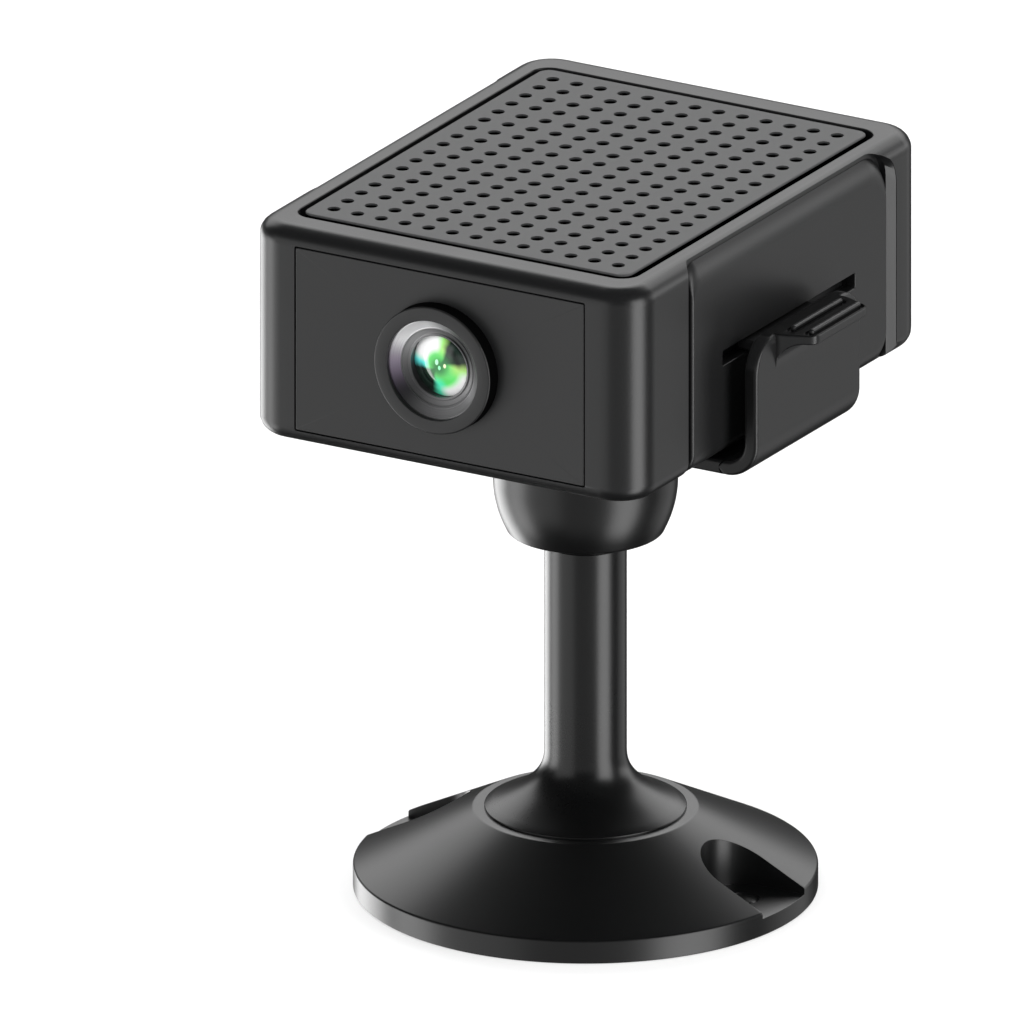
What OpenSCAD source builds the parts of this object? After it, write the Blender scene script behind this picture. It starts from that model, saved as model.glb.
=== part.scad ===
// A small desk and wall security camera: a level box on a ball-jointed stand with a round cone foot.
// Origin: centre of the underside of the foot, on the stem axis. +Z is up, the lens looks along -Y.

/* [Camera body] */
// Width of the camera body
body_w = 49.6; // [47:0.1:62]
// Depth of the camera body, front to back
body_d = 64.2; // [62:0.1:80]
// Height of the camera body
body_h = 25; // [24:0.1:32]
// Radius of the four upright corners
corner_r = 4.6; // [3.6:0.1:6]
// Radius along the top and bottom edges
edge_r = 2; // [1.2:0.1:2.6]
// Thickness of the side walls
side_wall = 2.5; // [2.2:0.1:3]
// Thickness of the front and rear walls
end_wall = 2.2; // [2:0.1:2.8]
// Thickness of the wall under the grille
top_wall = 1.2; // [0.8:0.1:1.6]
// Thickness of the bottom cover
cover_t = 1.6; // [1.2:0.1:2]

/* [Top grille] */
// Distance from the side of the body to the grille recess
recess_margin_x = 3.3; // [3:0.1:6]
// Distance from the front of the body to the grille recess
recess_margin_y = 4.5; // [4:0.1:8]
// Corner radius of the grille recess
recess_r = 2.2; // [1:0.1:3]
// Width of the groove around the grille plate
grille_gap = 0.8; // [0.3:0.05:1]
// Thickness of the grille plate
grille_t = 1.45; // [0.8:0.05:1.8]
// How far the plate stands out from the top of the body
grille_proud = 0.1; // [0:0.05:0.4]
// Distance between hole centres
hole_pitch = 3.01; // [2.4:0.01:4]
// Diameter of a grille hole
hole_d = 1.5; // [0.8:0.1:1.8]
// Least distance from a hole centre to the edge of the recess
hole_margin = 3.4; // [2.5:0.1:5]
// Thickness of the dust mesh under the plate
mesh_t = 0.2; // [0.1:0.05:0.3]

/* [Front panel and lens] */
// Width of the front panel
panel_w = 36.6; // [34:0.1:38]
// Height of the front panel
panel_h = 21.3; // [19:0.1:21.6]
// Thickness of the front panel
panel_t = 1.6; // [1:0.1:1.8]
// Height of the lens axis above the underside of the body
lens_up = 12.5; // [12:0.1:13]
// Outer radius of the lens ring
ring_r = 7.35; // [7:0.05:7.8]
// How far the lens ring stands out from the panel
ring_proud = 1.8; // [0.8:0.1:3]
// Radius of the opening in the lens ring
ring_mouth_r = 5.75; // [5.4:0.05:5.8]
// Radius of the lens barrel
barrel_r = 6; // [5.9:0.05:6.2]
// Length of the lens barrel
barrel_l = 13.1; // [12.6:0.1:13.1]
// Radius of the lens elements
glass_r = 3.7; // [3.2:0.05:4]

/* [Side panels] */
// Front edge of the side panels
side_front = -18.8; // [-22:0.1:-16]
// Rear edge of the side panels
side_rear = 24; // [20:0.05:25]
// Width of the deep groove ahead of each side panel
side_groove = 1.5; // [1:0.1:2]
// Gap behind each side panel
side_gap = 1.5; // [0.3:0.1:2]
// Thickness of the side panels
side_t = 1.1; // [0.8:0.1:1.3]
// How far the panel face lies inside the body side
side_inset = 0.3; // [0.1:0.05:0.5]
// Front end of the clip slot
slot_front = -12.2; // [-14:0.1:-10]
// Rear end of the clip slot
slot_rear = 16.9; // [12:0.1:18]
// Height of the slot above the underside of the body
slot_up = 10.7; // [9:0.1:12]
// Height of the slot
slot_h = 1.7; // [1.5:0.1:2.2]

/* [Cradle and clips] */
// Thickness of the cradle plate and clip arms
plate_t = 1.65; // [1.4:0.05:2.2]
// Half length of the cradle along the body
cradle_half = 11.5; // [10:0.1:14]
// Gap between the body side and a clip arm
arm_gap = 1.9; // [1.4:0.1:2.5]
// Inside radius of the bend between plate and arm
bend_r = 2.3; // [1.8:0.1:3]
// Height of the arm top above the underside of the body
arm_up = 13.6; // [13:0.1:16]
// Corner radius at the top of an arm
arm_corner_r = 4; // [2:0.1:5]
// Half length of the hook that sits in the slot
hook_half = 7.2; // [5:0.1:8]
// Thickness of the hook
hook_t = 1.2; // [0.8:0.1:1.3]
// How far the hook reaches inside the side panel face
hook_reach = 1.2; // [0.8:0.1:1.3]
// How far the thumb tab stands out from the arm
tab_out = 4.25; // [3:0.05:6]
// Half length of the thumb tab at its outer edge
tab_tip_half = 6; // [4:0.1:6.5]
// Half length of the thumb tab at the arm
tab_root_half = 7.3; // [6.5:0.1:8]
// Thickness of the thumb tab
tab_t = 1.1; // [0.8:0.1:1.5]
// Radius of the hollow under the thumb tab
tab_fillet_r = 3; // [2:0.1:3.2]
// Thickness of the soft pad on the cradle plate
pad_t = 0.65; // [0.4:0.05:1]
// Angle through which a clip arm springs open
clip_open = 10; // [8:1:12]

/* [Ball joint] */
// Radius of the ball
ball_r = 7.6; // [7:0.05:9.2]
// Thickness of the friction band around the ball
band_t = 0.7; // [0.5:0.05:1]
// Wall of the collar outside the band
collar_wall = 1.75; // [1.4:0.05:2.2]
// Height of the rounded part of the collar
bowl_h = 6.1; // [5:0.1:7]
// How much narrower the collar is at its lower edge
bowl_taper = 1.6; // [1:0.1:2]
// Distance from the lip to the lower edge of the collar
lip_depth = 0.5; // [0.3:0.1:0.8]
// Tilt of the head each way
tilt_limit = 20; // [10:1:22]
// Thickness of the seat cup over the ball
cup_t = 0.65; // [0.5:0.05:1]
// Height left for the spring washer
spring_h = 1.4; // [1.2:0.1:2]
// Height of the threaded ring inside the collar
boss_h = 4.8; // [4:0.1:5.2]

/* [Stand] */
// Radius of the foot
base_r = 25.6; // [25.4:0.1:36]
// Height of the upright rim of the foot
rim_h = 2.75; // [2.75:0.05:4]
// Height of the flat top of the foot
base_h = 9.33; // [8.5:0.01:12]
// Radius of the flat top of the foot
base_top_r = 12.4; // [11.6:0.1:14]
// Radius of the stem
stem_r = 4.55; // [3.8:0.05:5.5]
// Height from the foot to the centre of the ball
stem_l = 37; // [32:0.1:60]
// Radius of the flange at the stem's lower end
flange_r = 11.15; // [9:0.05:11.4]
// Thickness of the flange edge
flange_t = 0.3; // [0.2:0.05:1]
// Height of the flare above the flange
flare_h = 6.7; // [4:0.1:9]
// Distance from the stem axis to each wall screw
screw_x = 19.9; // [19.9:0.1:27]
// Half width of the screw slots in the foot
slot_half = 4.6; // [4:0.1:4.6]
// Radius of the wall screw holes
screw_hole_r = 1.9; // [1.5:0.1:2.3]
// Height of the slot floor
slot_floor = 2.1; // [2:0.1:2.4]
// Thickness of the rubber sole
sole_t = 1; // [0.8:0.1:1.2]
// How far the sole stands below the foot
sole_proud = 0.1; // [0.1:0.05:0.5]

/* [Electronics] */
// Battery width, depth and height
battery = [34, 38, 7.9]; // [20:0.1:40]
// Main board width and depth
board = [38, 43]; // [30:1:38]
// Thickness of the circuit boards
board_t = 1.2; // [0.8:0.1:1.6]
// Height of the main board above the underside of the body
board_up = 13.6; // [13.6:0.1:14]
// Memory card width, depth and thickness
card = [11, 15, 0.9]; // [0.7:0.1:15]
// Radius of the speaker flange
speaker_r = 9.5; // [7:0.1:10]
// Travel of the power button
power_travel = 0.4; // [0.2:0.05:0.6]
// Travel of the reset button
reset_travel = 0.25; // [0.1:0.05:0.4]

/* [Clearances] */
// Radial play of parts that slide or turn in each other
fit = 0.05; // [0.02:0.01:0.1]
// Gap between loose neighbours
gap = 0.1; // [0.05:0.01:0.2]

/* [Hidden] */
$fn = 96;

// Heights, built up from the foot
ball_z = base_h + stem_l;
cup_top = ball_r + fit + cup_t;
plate_z = ball_z + cup_top + spring_h;
plate_top = plate_z + plate_t;
body_z = plate_top + pad_t + fit;
body_top = body_z + body_h;
lens_z = body_z + lens_up;
board_z = body_z + board_up;

// Top recess
recess_d = grille_t - grille_proud + mesh_t;
recess_w = body_w - 2 * recess_margin_x;
recess_l = body_d - 2 * recess_margin_y;
ceiling_z = body_top - recess_d - top_wall;

// Camera body, inside and outside
half_w = body_w / 2;
half_d = body_d / 2;
inner_x = half_w - side_wall;
inner_y = half_d - end_wall;
side_face = half_w - side_inset;
side_back = side_face - side_t - fit;
floor_z = body_z + cover_t;

// Side recess: radii of its corners and of the panel's, from the lower front corner round
recess_radii = [0.1, 0.1, 3.9, 2];
panel_radii = [0.1, 2, 3.4, 1.8];
recess_under = 0.25;
panel_under = 0.7;
slot_deep = 0.55;

// Ball joint radii and angles
band_in = ball_r + fit;
band_out = band_in + band_t;
pocket_r = band_out + gap;
collar_r = pocket_r + collar_wall;
lip_r = ball_r + 1.5 * fit;
lip_angle = 31.6;
pocket_angle = 27;
angle_spare = 1.5;
band_low = pocket_angle - tilt_limit - angle_spare;
band_high = 13;
lip_z = lip_r * sin(lip_angle);
collar_low = lip_z + lip_depth;
mouth_r = lip_r * cos(lip_angle) + 0.25;
thread_r = pocket_r + 0.25;
boss_low = cup_top + spring_h - boss_h;
cup_r = pocket_r - collar_wall + 0.35;
spring_t = 0.4;

// Stem and foot
neck_z = ball_z - sqrt(ball_r * ball_r - stem_r * stem_r) - 0.3;
flare_power = 2.5;
weight_r0 = 7.2;
weight_r1 = 14.4;
weight_t = 3.9;
head_r = 3.6;
head_t = 2.2;
screw_r = 2;
washer_t = 0.8;
pocket_top = sole_t + head_t + washer_t + 0.5;
sole_seat_r = base_r - 0.9;
foot_edge = 0.15;
rim_edge = 0.25;
spigot_r = stem_r - 1;
pocket_step = 0.5;
head_play = 0.9;
cross_slot = [0.9, 4.2, 1.4];
thread_l = 11;
thread_hole_l = 13;

// Clip arms
pivot_x = half_w + arm_gap - bend_r;
pivot_z = plate_z + plate_t / 2;
arm_x = half_w + arm_gap;
arm_top = body_z + arm_up;
hook_z = body_z + slot_up + (slot_h - hook_t) / 2;
pad_margin = [5, 1.5];
rib = [0.6, 0.7];
rib_at = [0.75, 1.2];

// Fasteners inside the body
cover_screw_at = [inner_x - 2.1, inner_y - 2.1];
cover_boss_r = 2;
cover_bore_r = 0.95;
cover_head_r = 1.7;
cover_head_t = 0.8;
cover_cross = [0.4, 2, 0.6];
small_head_r = 1.6;
small_head_t = 0.8;
post_x = 11.5;
post_r = 2;
small_bore_r = 0.8;
standoff_x = 16.5;
standoff_front = 2.6;
standoff_rear = 10;
standoff_r = 1.8;

// Depths behind the front face
front_y = -half_d;
ring_flange_t = 1;
ring_flange_w = 1.05;
panel_z = body_z + body_h / 2 - 0.1;
led_x = 13;
led_up = 5.6;
led_r = 1.5;
light_x = 15.6;
led_board_y = end_wall + 0.9;
lens_start = 1.55 - ring_proud;
filter_t = 0.3;
filter_size = 10.8;
holder_size = 15.6;
holder_room = 11;
sensor_size = [8, 7];
sensor_board_size = [28, 18];
sensor_board_t = 1;
led_board_size = [34, 17.4];
light_size = [1.4, 0.7];
front_lens_t = 2;
rear_lens_at = 5.3;
retainer_at = 7.3;
retainer_t = 1.1;
front_round = 12;
rear_round = 10;
sensor_t = 0.8;
holder_base_t = 2.5;
sensor_board_y = panel_t + barrel_l - 1.2;
holder_pocket_y = sensor_board_y - 1.45;
sensor_back = sensor_board_y + sensor_board_t;

// Parts on the rear face
usb = [9, 7.3, 3.2];
usb_x = -10;
usb_z = board_z - usb[2] - gap;
slot_box = [13, 15, 1.6];
card_x = 8;
card_z = board_z - slot_box[2] - gap;
upper_z = board_z + 5.4;
button_x = -10;
button_r = 2.25;
reset_x = 0;
pinhole_r = 0.6;
plunger_r = 0.9;
pipe_x = 10;
pipe_r = 1;
usb_wall = 0.4;
button_head = 0.5;
button_flange = [0.8, 0.8];
card_open = 0.4;
usb_open = 0.2;
switch_face = inner_y - 1.4;
board_rear = inner_y - 0.5;
board_front = board_rear - board[1];
speaker_y = board_rear - 17;
chip_y = board_front + 8;
board_notch = 4.5;
mic_y = -inner_y + 6;

// Parts on the main board: width, depth, height
chip = [12, 12, 1];
thermal_t = 0.4;
sink = [16, 14, 1];
fin = [0.9, 14, 3.4];
fin_pitch = 2.4;
fins_each_side = 3;
radio = [9, 12, 1.8];
radio_x = 11.5;
antenna_size = [0.3, 24, 4];
speaker_flange_t = 0.7;
magnet_r = 5.6;
mic_r = 2;
mic_t = 1.5;
lead_r = 0.55;
lead_x = 0.9;
cable_w = 8;
cable_t = 0.25;
cable_lap = 2;
cable_down = 4;
sound_hole = [20, 12, 5];

// Points of an arc, as [x, y]
function arc(c, r, a0, a1, n = 10) =
    [for (i = [0:n]) let (a = a0 + (a1 - a0) * i / n) c + r * [cos(a), sin(a)]];

// Points of a rectangle whose four corners have their own radii, from the lower left, anticlockwise
function frame_points(x0, y0, x1, y1, r) = concat(
    arc([x0 + r[0], y0 + r[0]], r[0], 180, 270, 6),
    arc([x1 - r[1], y0 + r[1]], r[1], 270, 360, 6),
    arc([x1 - r[2], y1 - r[2]], r[2], 0, 90, 6),
    arc([x0 + r[3], y1 - r[3]], r[3], 90, 180, 6)
);

// A level block centred on at[0], at[1] with its underside at at[2]
module block(size, at) {
    translate([at[0] - size[0] / 2, at[1] - size[1] / 2, at[2]]) cube(size);
}

// A cylinder along Y, from depth t0 to t1 behind the front face
module bore_y(r, t0, t1, x = 0, z = lens_z) {
    translate([x, front_y + t0, z]) rotate([-90, 0, 0]) cylinder(r = r, h = t1 - t0);
}

// A body of revolution about the lens axis; its profile is [radius, depth behind the front face]
module turned(profile) {
    translate([0, front_y, lens_z]) rotate([-90, 0, 0]) rotate_extrude() polygon(profile);
}

// An upright plate centred on the lens axis, between two depths
module upright(w, h, t0, t1, x = 0, z = lens_z) {
    translate([x - w / 2, front_y + t0, z - h / 2]) cube([w, t1 - t0, h]);
}

// The outside of the camera body, its sides drawn in by inset
module soft_box(inset = 0) {
    r = corner_r;
    x = half_w - inset - r;
    y = half_d - r;
    profile = concat(
        [[0, 0]], arc([r - edge_r, edge_r], edge_r, -90, 0, 6),
        arc([r - edge_r, body_h - edge_r], edge_r, 0, 90, 6), [[0, body_h]]
    );
    translate([0, 0, body_z]) hull() {
        for (sx = [-1, 1], sy = [-1, 1])
            translate([sx * x, sy * y, 0]) rotate_extrude($fn = 32) polygon(profile);
    }
}

// The outline of a side panel, grown by grow at the front, rear and top, as a slab along X
module side_outline(front, rear, top, r, x0, x1) {
    translate([x0, 0, 0]) rotate([90, 0, 90]) linear_extrude(x1 - x0)
        polygon(frame_points(front, body_z - 1, rear, top, r));
}

// ---- Foot and stem ----

module base_disc() {
    color("#1c1d1f") difference() {
        rotate_extrude() polygon([
            [0, sole_proud], [base_r - foot_edge, sole_proud], [base_r, sole_proud + foot_edge],
            [base_r, rim_h - rim_edge], [base_r - rim_edge, rim_h],
            [base_top_r + 2 * gap, base_h - gap], [base_top_r - gap, base_h], [0, base_h]
        ]);
        // recess for the rubber sole
        translate([0, 0, -1]) cylinder(r = sole_seat_r, h = sole_t + 1);
        // pocket for the ring weight
        translate([0, 0, sole_t - pocket_step]) difference() {
            cylinder(r = weight_r1 + gap, h = weight_t + pocket_step + gap);
            translate([0, 0, -1]) cylinder(r = weight_r0 - gap, h = weight_t + 3);
        }
        // pocket and hole for the stem screw
        translate([0, 0, sole_t - pocket_step])
            cylinder(r = head_r + head_play, h = pocket_top - sole_t + pocket_step);
        cylinder(r = spigot_r, h = base_h + 1);
        // slots and holes for the two wall screws
        for (side = [-1, 1]) {
            translate([side * screw_x, 0, slot_floor]) cylinder(r = slot_half, h = base_h);
            translate([side < 0 ? -base_r - 5 : screw_x, -slot_half, slot_floor])
                cube([base_r + 5 - screw_x, 2 * slot_half, base_h]);
            translate([side * screw_x, 0, -1]) cylinder(r = screw_hole_r, h = base_h);
        }
    }
}

module base_pad() {
    color("#2a2a2b") difference() {
        cylinder(r = sole_seat_r - gap, h = sole_t);
        for (side = [-1, 1])
            translate([side * screw_x, 0, -1]) cylinder(r = screw_hole_r, h = sole_t + 2);
    }
}

module base_weight() {
    color("#8d9094") translate([0, 0, sole_t]) difference() {
        cylinder(r = weight_r1, h = weight_t);
        translate([0, 0, -1]) cylinder(r = weight_r0, h = weight_t + 2);
    }
}

module stem() {
    // The flare narrows from the flange edge to the straight stem as a power of the height left
    flare = [for (i = [0:12]) let (u = i / 12)
        [stem_r + (flange_r - stem_r) * pow(1 - u, flare_power), base_h + flange_t + flare_h * u]];
    color("#1c1d1f") difference() {
        rotate_extrude() polygon(concat(
            [[0, pocket_top], [spigot_r - fit, pocket_top], [spigot_r - fit, base_h],
             [flange_r, base_h]],
            flare, [[stem_r, neck_z], [0, neck_z]]
        ));
        translate([0, 0, ball_z]) sphere(r = ball_r + fit);
        translate([0, 0, pocket_top - 1]) cylinder(r = screw_r, h = thread_hole_l);
        translate([0, 0, ball_z - ball_r - 6.5]) cylinder(r = screw_r + fit, h = 12);
    }
}

module stem_screw() {
    z = pocket_top - washer_t - head_t;
    color("#a9abad") difference() {
        union() {
            translate([0, 0, z]) cylinder(r = head_r, h = head_t);
            translate([0, 0, z]) cylinder(r = screw_r - fit, h = head_t + washer_t + thread_l);
        }
        for (turn = [0, 90])
            rotate([0, 0, turn]) block(cross_slot, [0, 0, z - 0.2]);
    }
}

module stem_washer() {
    color("#b8babc") translate([0, 0, pocket_top - washer_t]) difference() {
        cylinder(r = head_r + 0.6, h = washer_t);
        translate([0, 0, -1]) cylinder(r = screw_r, h = washer_t + 2);
    }
}

module ball_stud() {
    color("#141517") translate([0, 0, ball_z]) union() {
        sphere(r = ball_r);
        translate([0, 0, neck_z - ball_z]) cylinder(r = stem_r - fit, h = ball_r - 2);
        translate([0, 0, -ball_r - 6]) cylinder(r = screw_r, h = 10);
    }
}

// ---- Ball joint ----

// Profiles are [radius, height above the ball centre]
module around_ball(profile) {
    translate([0, 0, ball_z]) rotate_extrude() polygon(profile);
}

module friction_band() {
    color("#3a3b3d") around_ball(concat(
        arc([0, 0], band_out, -band_low, band_high),
        arc([0, 0], band_in, band_high, -band_low)
    ));
}

module seat_cup() {
    top = cup_top;
    edge = 90 - 52;
    color("#d9d7d0") around_ball(concat(
        arc([0, 0], band_in, 88, edge),
        [[cup_r, band_in * sin(edge)], [cup_r, top], [band_in * cos(88), top]]
    ));
}

module seat_spring() {
    // A dished spring washer between the cup and the cradle
    low = cup_top + fit;
    high = cup_top + spring_h - fit - spring_t;
    color("#b0b2b5") around_ball([
        [3.2, high], [cup_r - 0.3, low], [cup_r - 0.3, low + spring_t], [3.2, high + spring_t]
    ]);
}

module collar() {
    bowl_r = (bowl_h * bowl_h + bowl_taper * bowl_taper) / (2 * bowl_taper);
    bowl_a = asin(bowl_h / bowl_r);
    top = cup_top + spring_h - fit;
    shoulder = boss_low - 2 * fit;
    color("#18191b") around_ball(concat(
        [[mouth_r, -collar_low]],
        arc([collar_r - bowl_r, bowl_h - collar_low], bowl_r, -bowl_a, 0),
        [[collar_r, top - 0.2], [collar_r - 0.2, top], [thread_r, top], [thread_r, shoulder],
         [pocket_r, shoulder]],
        arc([0, 0], pocket_r, 0, -pocket_angle),
        arc([0, 0], lip_r, -pocket_angle, -lip_angle, 3)
    ));
}

// ---- Cradle ----

module cradle_plate() {
    reach = pivot_x + plate_t / 2;
    color("#191a1c") difference() {
        union() {
            block([2 * reach, 2 * cradle_half, plate_t], [0, 0, plate_z]);
            translate([0, 0, plate_z - boss_h]) cylinder(r = thread_r - fit, h = boss_h + 0.5);
        }
        translate([0, 0, plate_z - boss_h - 1]) cylinder(r = cup_r + fit, h = boss_h + 1);
        // round seats for the clip arms
        for (side = [-1, 1])
            translate([side * pivot_x, -cradle_half - 1, pivot_z]) rotate([-90, 0, 0])
                cylinder(r = plate_t / 2 + fit, h = 2 * cradle_half + 2);
        for (side = [-1, 1])
            block([plate_t * 2, 2 * cradle_half + 2, plate_t * 3],
                [side * (pivot_x + plate_t), 0, plate_z - plate_t]);
    }
}

module cradle_pad() {
    color("#2b2c2e") translate([0, 0, plate_top]) linear_extrude(pad_t)
        polygon(frame_points(-pivot_x + pad_margin[0], -cradle_half + pad_margin[1],
            pivot_x - pad_margin[0], cradle_half - pad_margin[1], [2, 2, 2, 2]));
}

// One clip arm, on the +X side
module clip_arm() {
    out = arm_x + plate_t;
    centre = [pivot_x, plate_top + bend_r];
    tip = out + tab_out;
    tab_z = arm_top - tab_t;
    swing = [for (i = [0:10]) let (u = i / 10)
        [out + tab_out * u, tab_tip_half + (tab_root_half - tab_tip_half) * (0.5 + 0.5 * cos(180 * u))]];
    // bend and upright, drawn in the X-Z plane and run along Y
    intersection() {
        translate([0, cradle_half, 0]) rotate([90, 0, 0]) linear_extrude(2 * cradle_half)
            polygon(concat(
                arc([pivot_x, pivot_z], plate_t / 2, 90, 270),
                arc(centre, bend_r + plate_t, -90, 0),
                [[out, arm_top], [arm_x, arm_top]],
                arc(centre, bend_r, 0, -90)
            ));
        translate([pivot_x - 5, 0, 0]) rotate([90, 0, 90]) linear_extrude(20)
            polygon(frame_points(-cradle_half, plate_z - 5, cradle_half, arm_top,
                [0.1, 0.1, arm_corner_r, arm_corner_r]));
    }
    // hook that enters the body slot
    block([arm_x + 0.5 - side_face + hook_reach, 2 * hook_half, hook_t],
        [(arm_x + 0.5 + side_face - hook_reach) / 2, 0, hook_z]);
    // thumb tab with its hollow underside
    translate([0, 0, tab_z]) linear_extrude(tab_t) polygon(concat(
        [[out - 0.5, -tab_root_half]],
        [for (p = swing) [p[0], -p[1]]],
        [for (i = [10:-1:0]) swing[i]],
        [[out - 0.5, tab_root_half]]
    ));
    translate([0, tab_tip_half, 0]) rotate([90, 0, 0]) linear_extrude(2 * tab_tip_half)
        polygon(concat(
            [[out - 0.5, tab_z + 0.2], [out - 0.5, tab_z - tab_fillet_r]],
            arc([out + tab_fillet_r, tab_z - tab_fillet_r], tab_fillet_r, 180, 90),
            [[out + tab_fillet_r, tab_z + 0.2]]
        ));
    // grip ribs
    for (x = [out + rib_at[0], tip - rib_at[1]])
        block([rib[0], 2 * tab_tip_half - 1, rib[1]], [x, 0, arm_top - 0.2]);
}

module clip_arm_right() {
    color("#1b1c1e") clip_arm();
}

module clip_arm_left() {
    color("#1b1c1e") mirror([1, 0, 0]) clip_arm();
}

// ---- Camera body ----

module housing() {
    color("#1d1e20") difference() {
        union() {
            difference() {
                soft_box();
                translate([-inner_x, -inner_y, body_z - 1])
                    cube([2 * inner_x, 2 * inner_y, ceiling_z - body_z + 1]);
            }
            // bosses for the cover screws
            for (sx = [-1, 1], sy = [-1, 1])
                translate([sx * cover_screw_at[0], sy * cover_screw_at[1], floor_z])
                    cylinder(r = cover_boss_r + 0.4, h = ceiling_z - floor_z + 0.2);
            // posts for the sensor board
            for (side = [-1, 1])
                bore_y(post_r, end_wall - 0.5, sensor_board_y, side * post_x);
            // standoffs for the main board
            for (side = [-1, 1], y = [board_front + standoff_front, board_rear - standoff_rear])
                translate([side * standoff_x, y, board_z + board_t])
                    cylinder(r = standoff_r, h = ceiling_z - board_z - board_t + 0.2);
        }
        // recess for the grille, and the openings under it
        translate([0, 0, body_top - recess_d]) linear_extrude(recess_d + 1)
            polygon(frame_points(-recess_w / 2, -recess_l / 2, recess_w / 2, recess_l / 2,
                [recess_r, recess_r, recess_r, recess_r]));
        translate([0, speaker_y, ceiling_z - 1]) cylinder(r = speaker_r - 1.4, h = 5);
        block(sound_hole, [0, chip_y, ceiling_z - 1]);
        translate([0, mic_y, ceiling_z - 1]) cylinder(r = small_bore_r, h = 5);
        // front panel seat, and the openings behind it for the lens, the LEDs and the light sensor
        upright(panel_w + 2 * gap, panel_h + 2 * gap, -1, panel_t, 0, panel_z);
        bore_y(ring_r + ring_flange_w + gap, 0, end_wall + 1);
        for (side = [-1, 1], up = [-1, 1])
            bore_y(led_r + gap, 0, end_wall + 1, side * led_x, lens_z + up * led_up);
        bore_y(1.2, 0, end_wall + 1, light_x);
        // side panel seats with their grooves, and the slots behind them
        for (side = [0, 1]) mirror([side, 0, 0]) {
            side_outline(side_front - side_groove, side_rear + side_gap, body_top - recess_under,
                recess_radii, side_back, half_w + 1);
            translate([side_back - slot_deep, slot_front, body_z + slot_up])
                cube([2, slot_rear - slot_front, slot_h]);
        }
        // screw bores
        for (sx = [-1, 1], sy = [-1, 1])
            translate([sx * cover_screw_at[0], sy * cover_screw_at[1], floor_z - 1])
                cylinder(r = cover_bore_r, h = 8);
        for (side = [-1, 1])
            bore_y(small_bore_r, sensor_board_y - 6, sensor_board_y + 1, side * post_x);
        for (side = [-1, 1], y = [board_front + standoff_front, board_rear - standoff_rear])
            translate([side * standoff_x, y, board_z + board_t - 1])
                cylinder(r = small_bore_r, h = 5);
        // openings in the rear wall
        block([usb[0] + 2 * usb_open, 8, usb[2] + 2 * usb_open], [usb_x, half_d, usb_z - usb_open]);
        block([card[0] + 2 * card_open, 8, card[2] + 2 * card_open],
            [card_x, half_d, card_z + 0.35 - card_open]);
        translate([button_x, inner_y - 1, upper_z]) rotate([-90, 0, 0])
            cylinder(r = button_r + fit, h = 6);
        translate([reset_x, inner_y - 1, upper_z]) rotate([-90, 0, 0])
            cylinder(r = pinhole_r, h = 6);
        translate([pipe_x, inner_y - 1, upper_z]) rotate([-90, 0, 0])
            cylinder(r = pipe_r + fit, h = 6);
    }
}

module bottom_cover() {
    color("#1a1b1d") difference() {
        block([2 * (inner_x - gap), 2 * (inner_y - gap), cover_t], [0, 0, body_z]);
        for (sx = [-1, 1], sy = [-1, 1])
            translate([sx * cover_screw_at[0], sy * cover_screw_at[1], 0]) {
                translate([0, 0, body_z - 1]) cylinder(r = cover_bore_r + 0.1, h = cover_t + 2);
                translate([0, 0, body_z - 1])
                    cylinder(r = cover_head_r + gap, h = cover_head_t + gap + 1);
            }
    }
}

module cover_screws() {
    color("#9fa1a4")
        for (sx = [-1, 1], sy = [-1, 1])
            translate([sx * cover_screw_at[0], sy * cover_screw_at[1], body_z + 0.1])
                difference() {
                    union() {
                        cylinder(r = cover_head_r, h = cover_head_t);
                        cylinder(r = cover_bore_r, h = cover_t + 5);
                    }
                    for (turn = [0, 90])
                        rotate([0, 0, turn]) block(cover_cross, [0, 0, -0.2]);
                }
}

module side_panel() {
    difference() {
        intersection() {
            soft_box(side_inset);
            side_outline(side_front, side_rear, body_top - panel_under, panel_radii,
                side_back + fit, half_w);
        }
        translate([side_back - 1, slot_front, body_z + slot_up])
            cube([6, slot_rear - slot_front, slot_h]);
    }
}

module side_panel_right() {
    color("#222325") side_panel();
}

module side_panel_left() {
    color("#222325") mirror([1, 0, 0]) side_panel();
}

module top_grille() {
    w = recess_w - 2 * grille_gap;
    l = recess_l - 2 * grille_gap;
    nx = floor((recess_w - 2 * hole_margin) / hole_pitch) + 1;
    ny = floor((recess_l - 2 * hole_margin) / hole_pitch) + 1;
    r = recess_r - grille_gap;
    color("#2c2d2f") translate([0, 0, body_top + grille_proud - grille_t]) linear_extrude(grille_t)
        difference() {
            polygon(frame_points(-w / 2, -l / 2, w / 2, l / 2, [r, r, r, r]));
            for (i = [0:nx - 1], j = [0:ny - 1])
                translate([(i - (nx - 1) / 2) * hole_pitch, (j - (ny - 1) / 2) * hole_pitch])
                    circle(d = hole_d, $fn = 24);
        }
}

module dust_mesh() {
    w = recess_w - 2 * grille_gap;
    l = recess_l - 2 * grille_gap;
    color("#0c0c0d") block([w, l, mesh_t], [0, 0, body_top - recess_d]);
}

module front_panel() {
    color("#1a1b1d") difference() {
        upright(panel_w, panel_h, 0, panel_t, 0, panel_z);
        bore_y(ring_r + fit, -1, panel_t + 1);
    }
}

// ---- Lens ----

module lens_ring() {
    lip_t = 0.6;
    back = panel_t + ring_flange_t;
    color("#1e1f21") turned([
        [ring_mouth_r, -ring_proud], [ring_r - 0.25, -ring_proud], [ring_r, 0.25 - ring_proud],
        [ring_r, panel_t], [ring_r + ring_flange_w, panel_t], [ring_r + ring_flange_w, back],
        [barrel_r + fit, back], [barrel_r + fit, lip_t - ring_proud],
        [ring_mouth_r, lip_t - ring_proud]
    ]);
}

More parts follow.
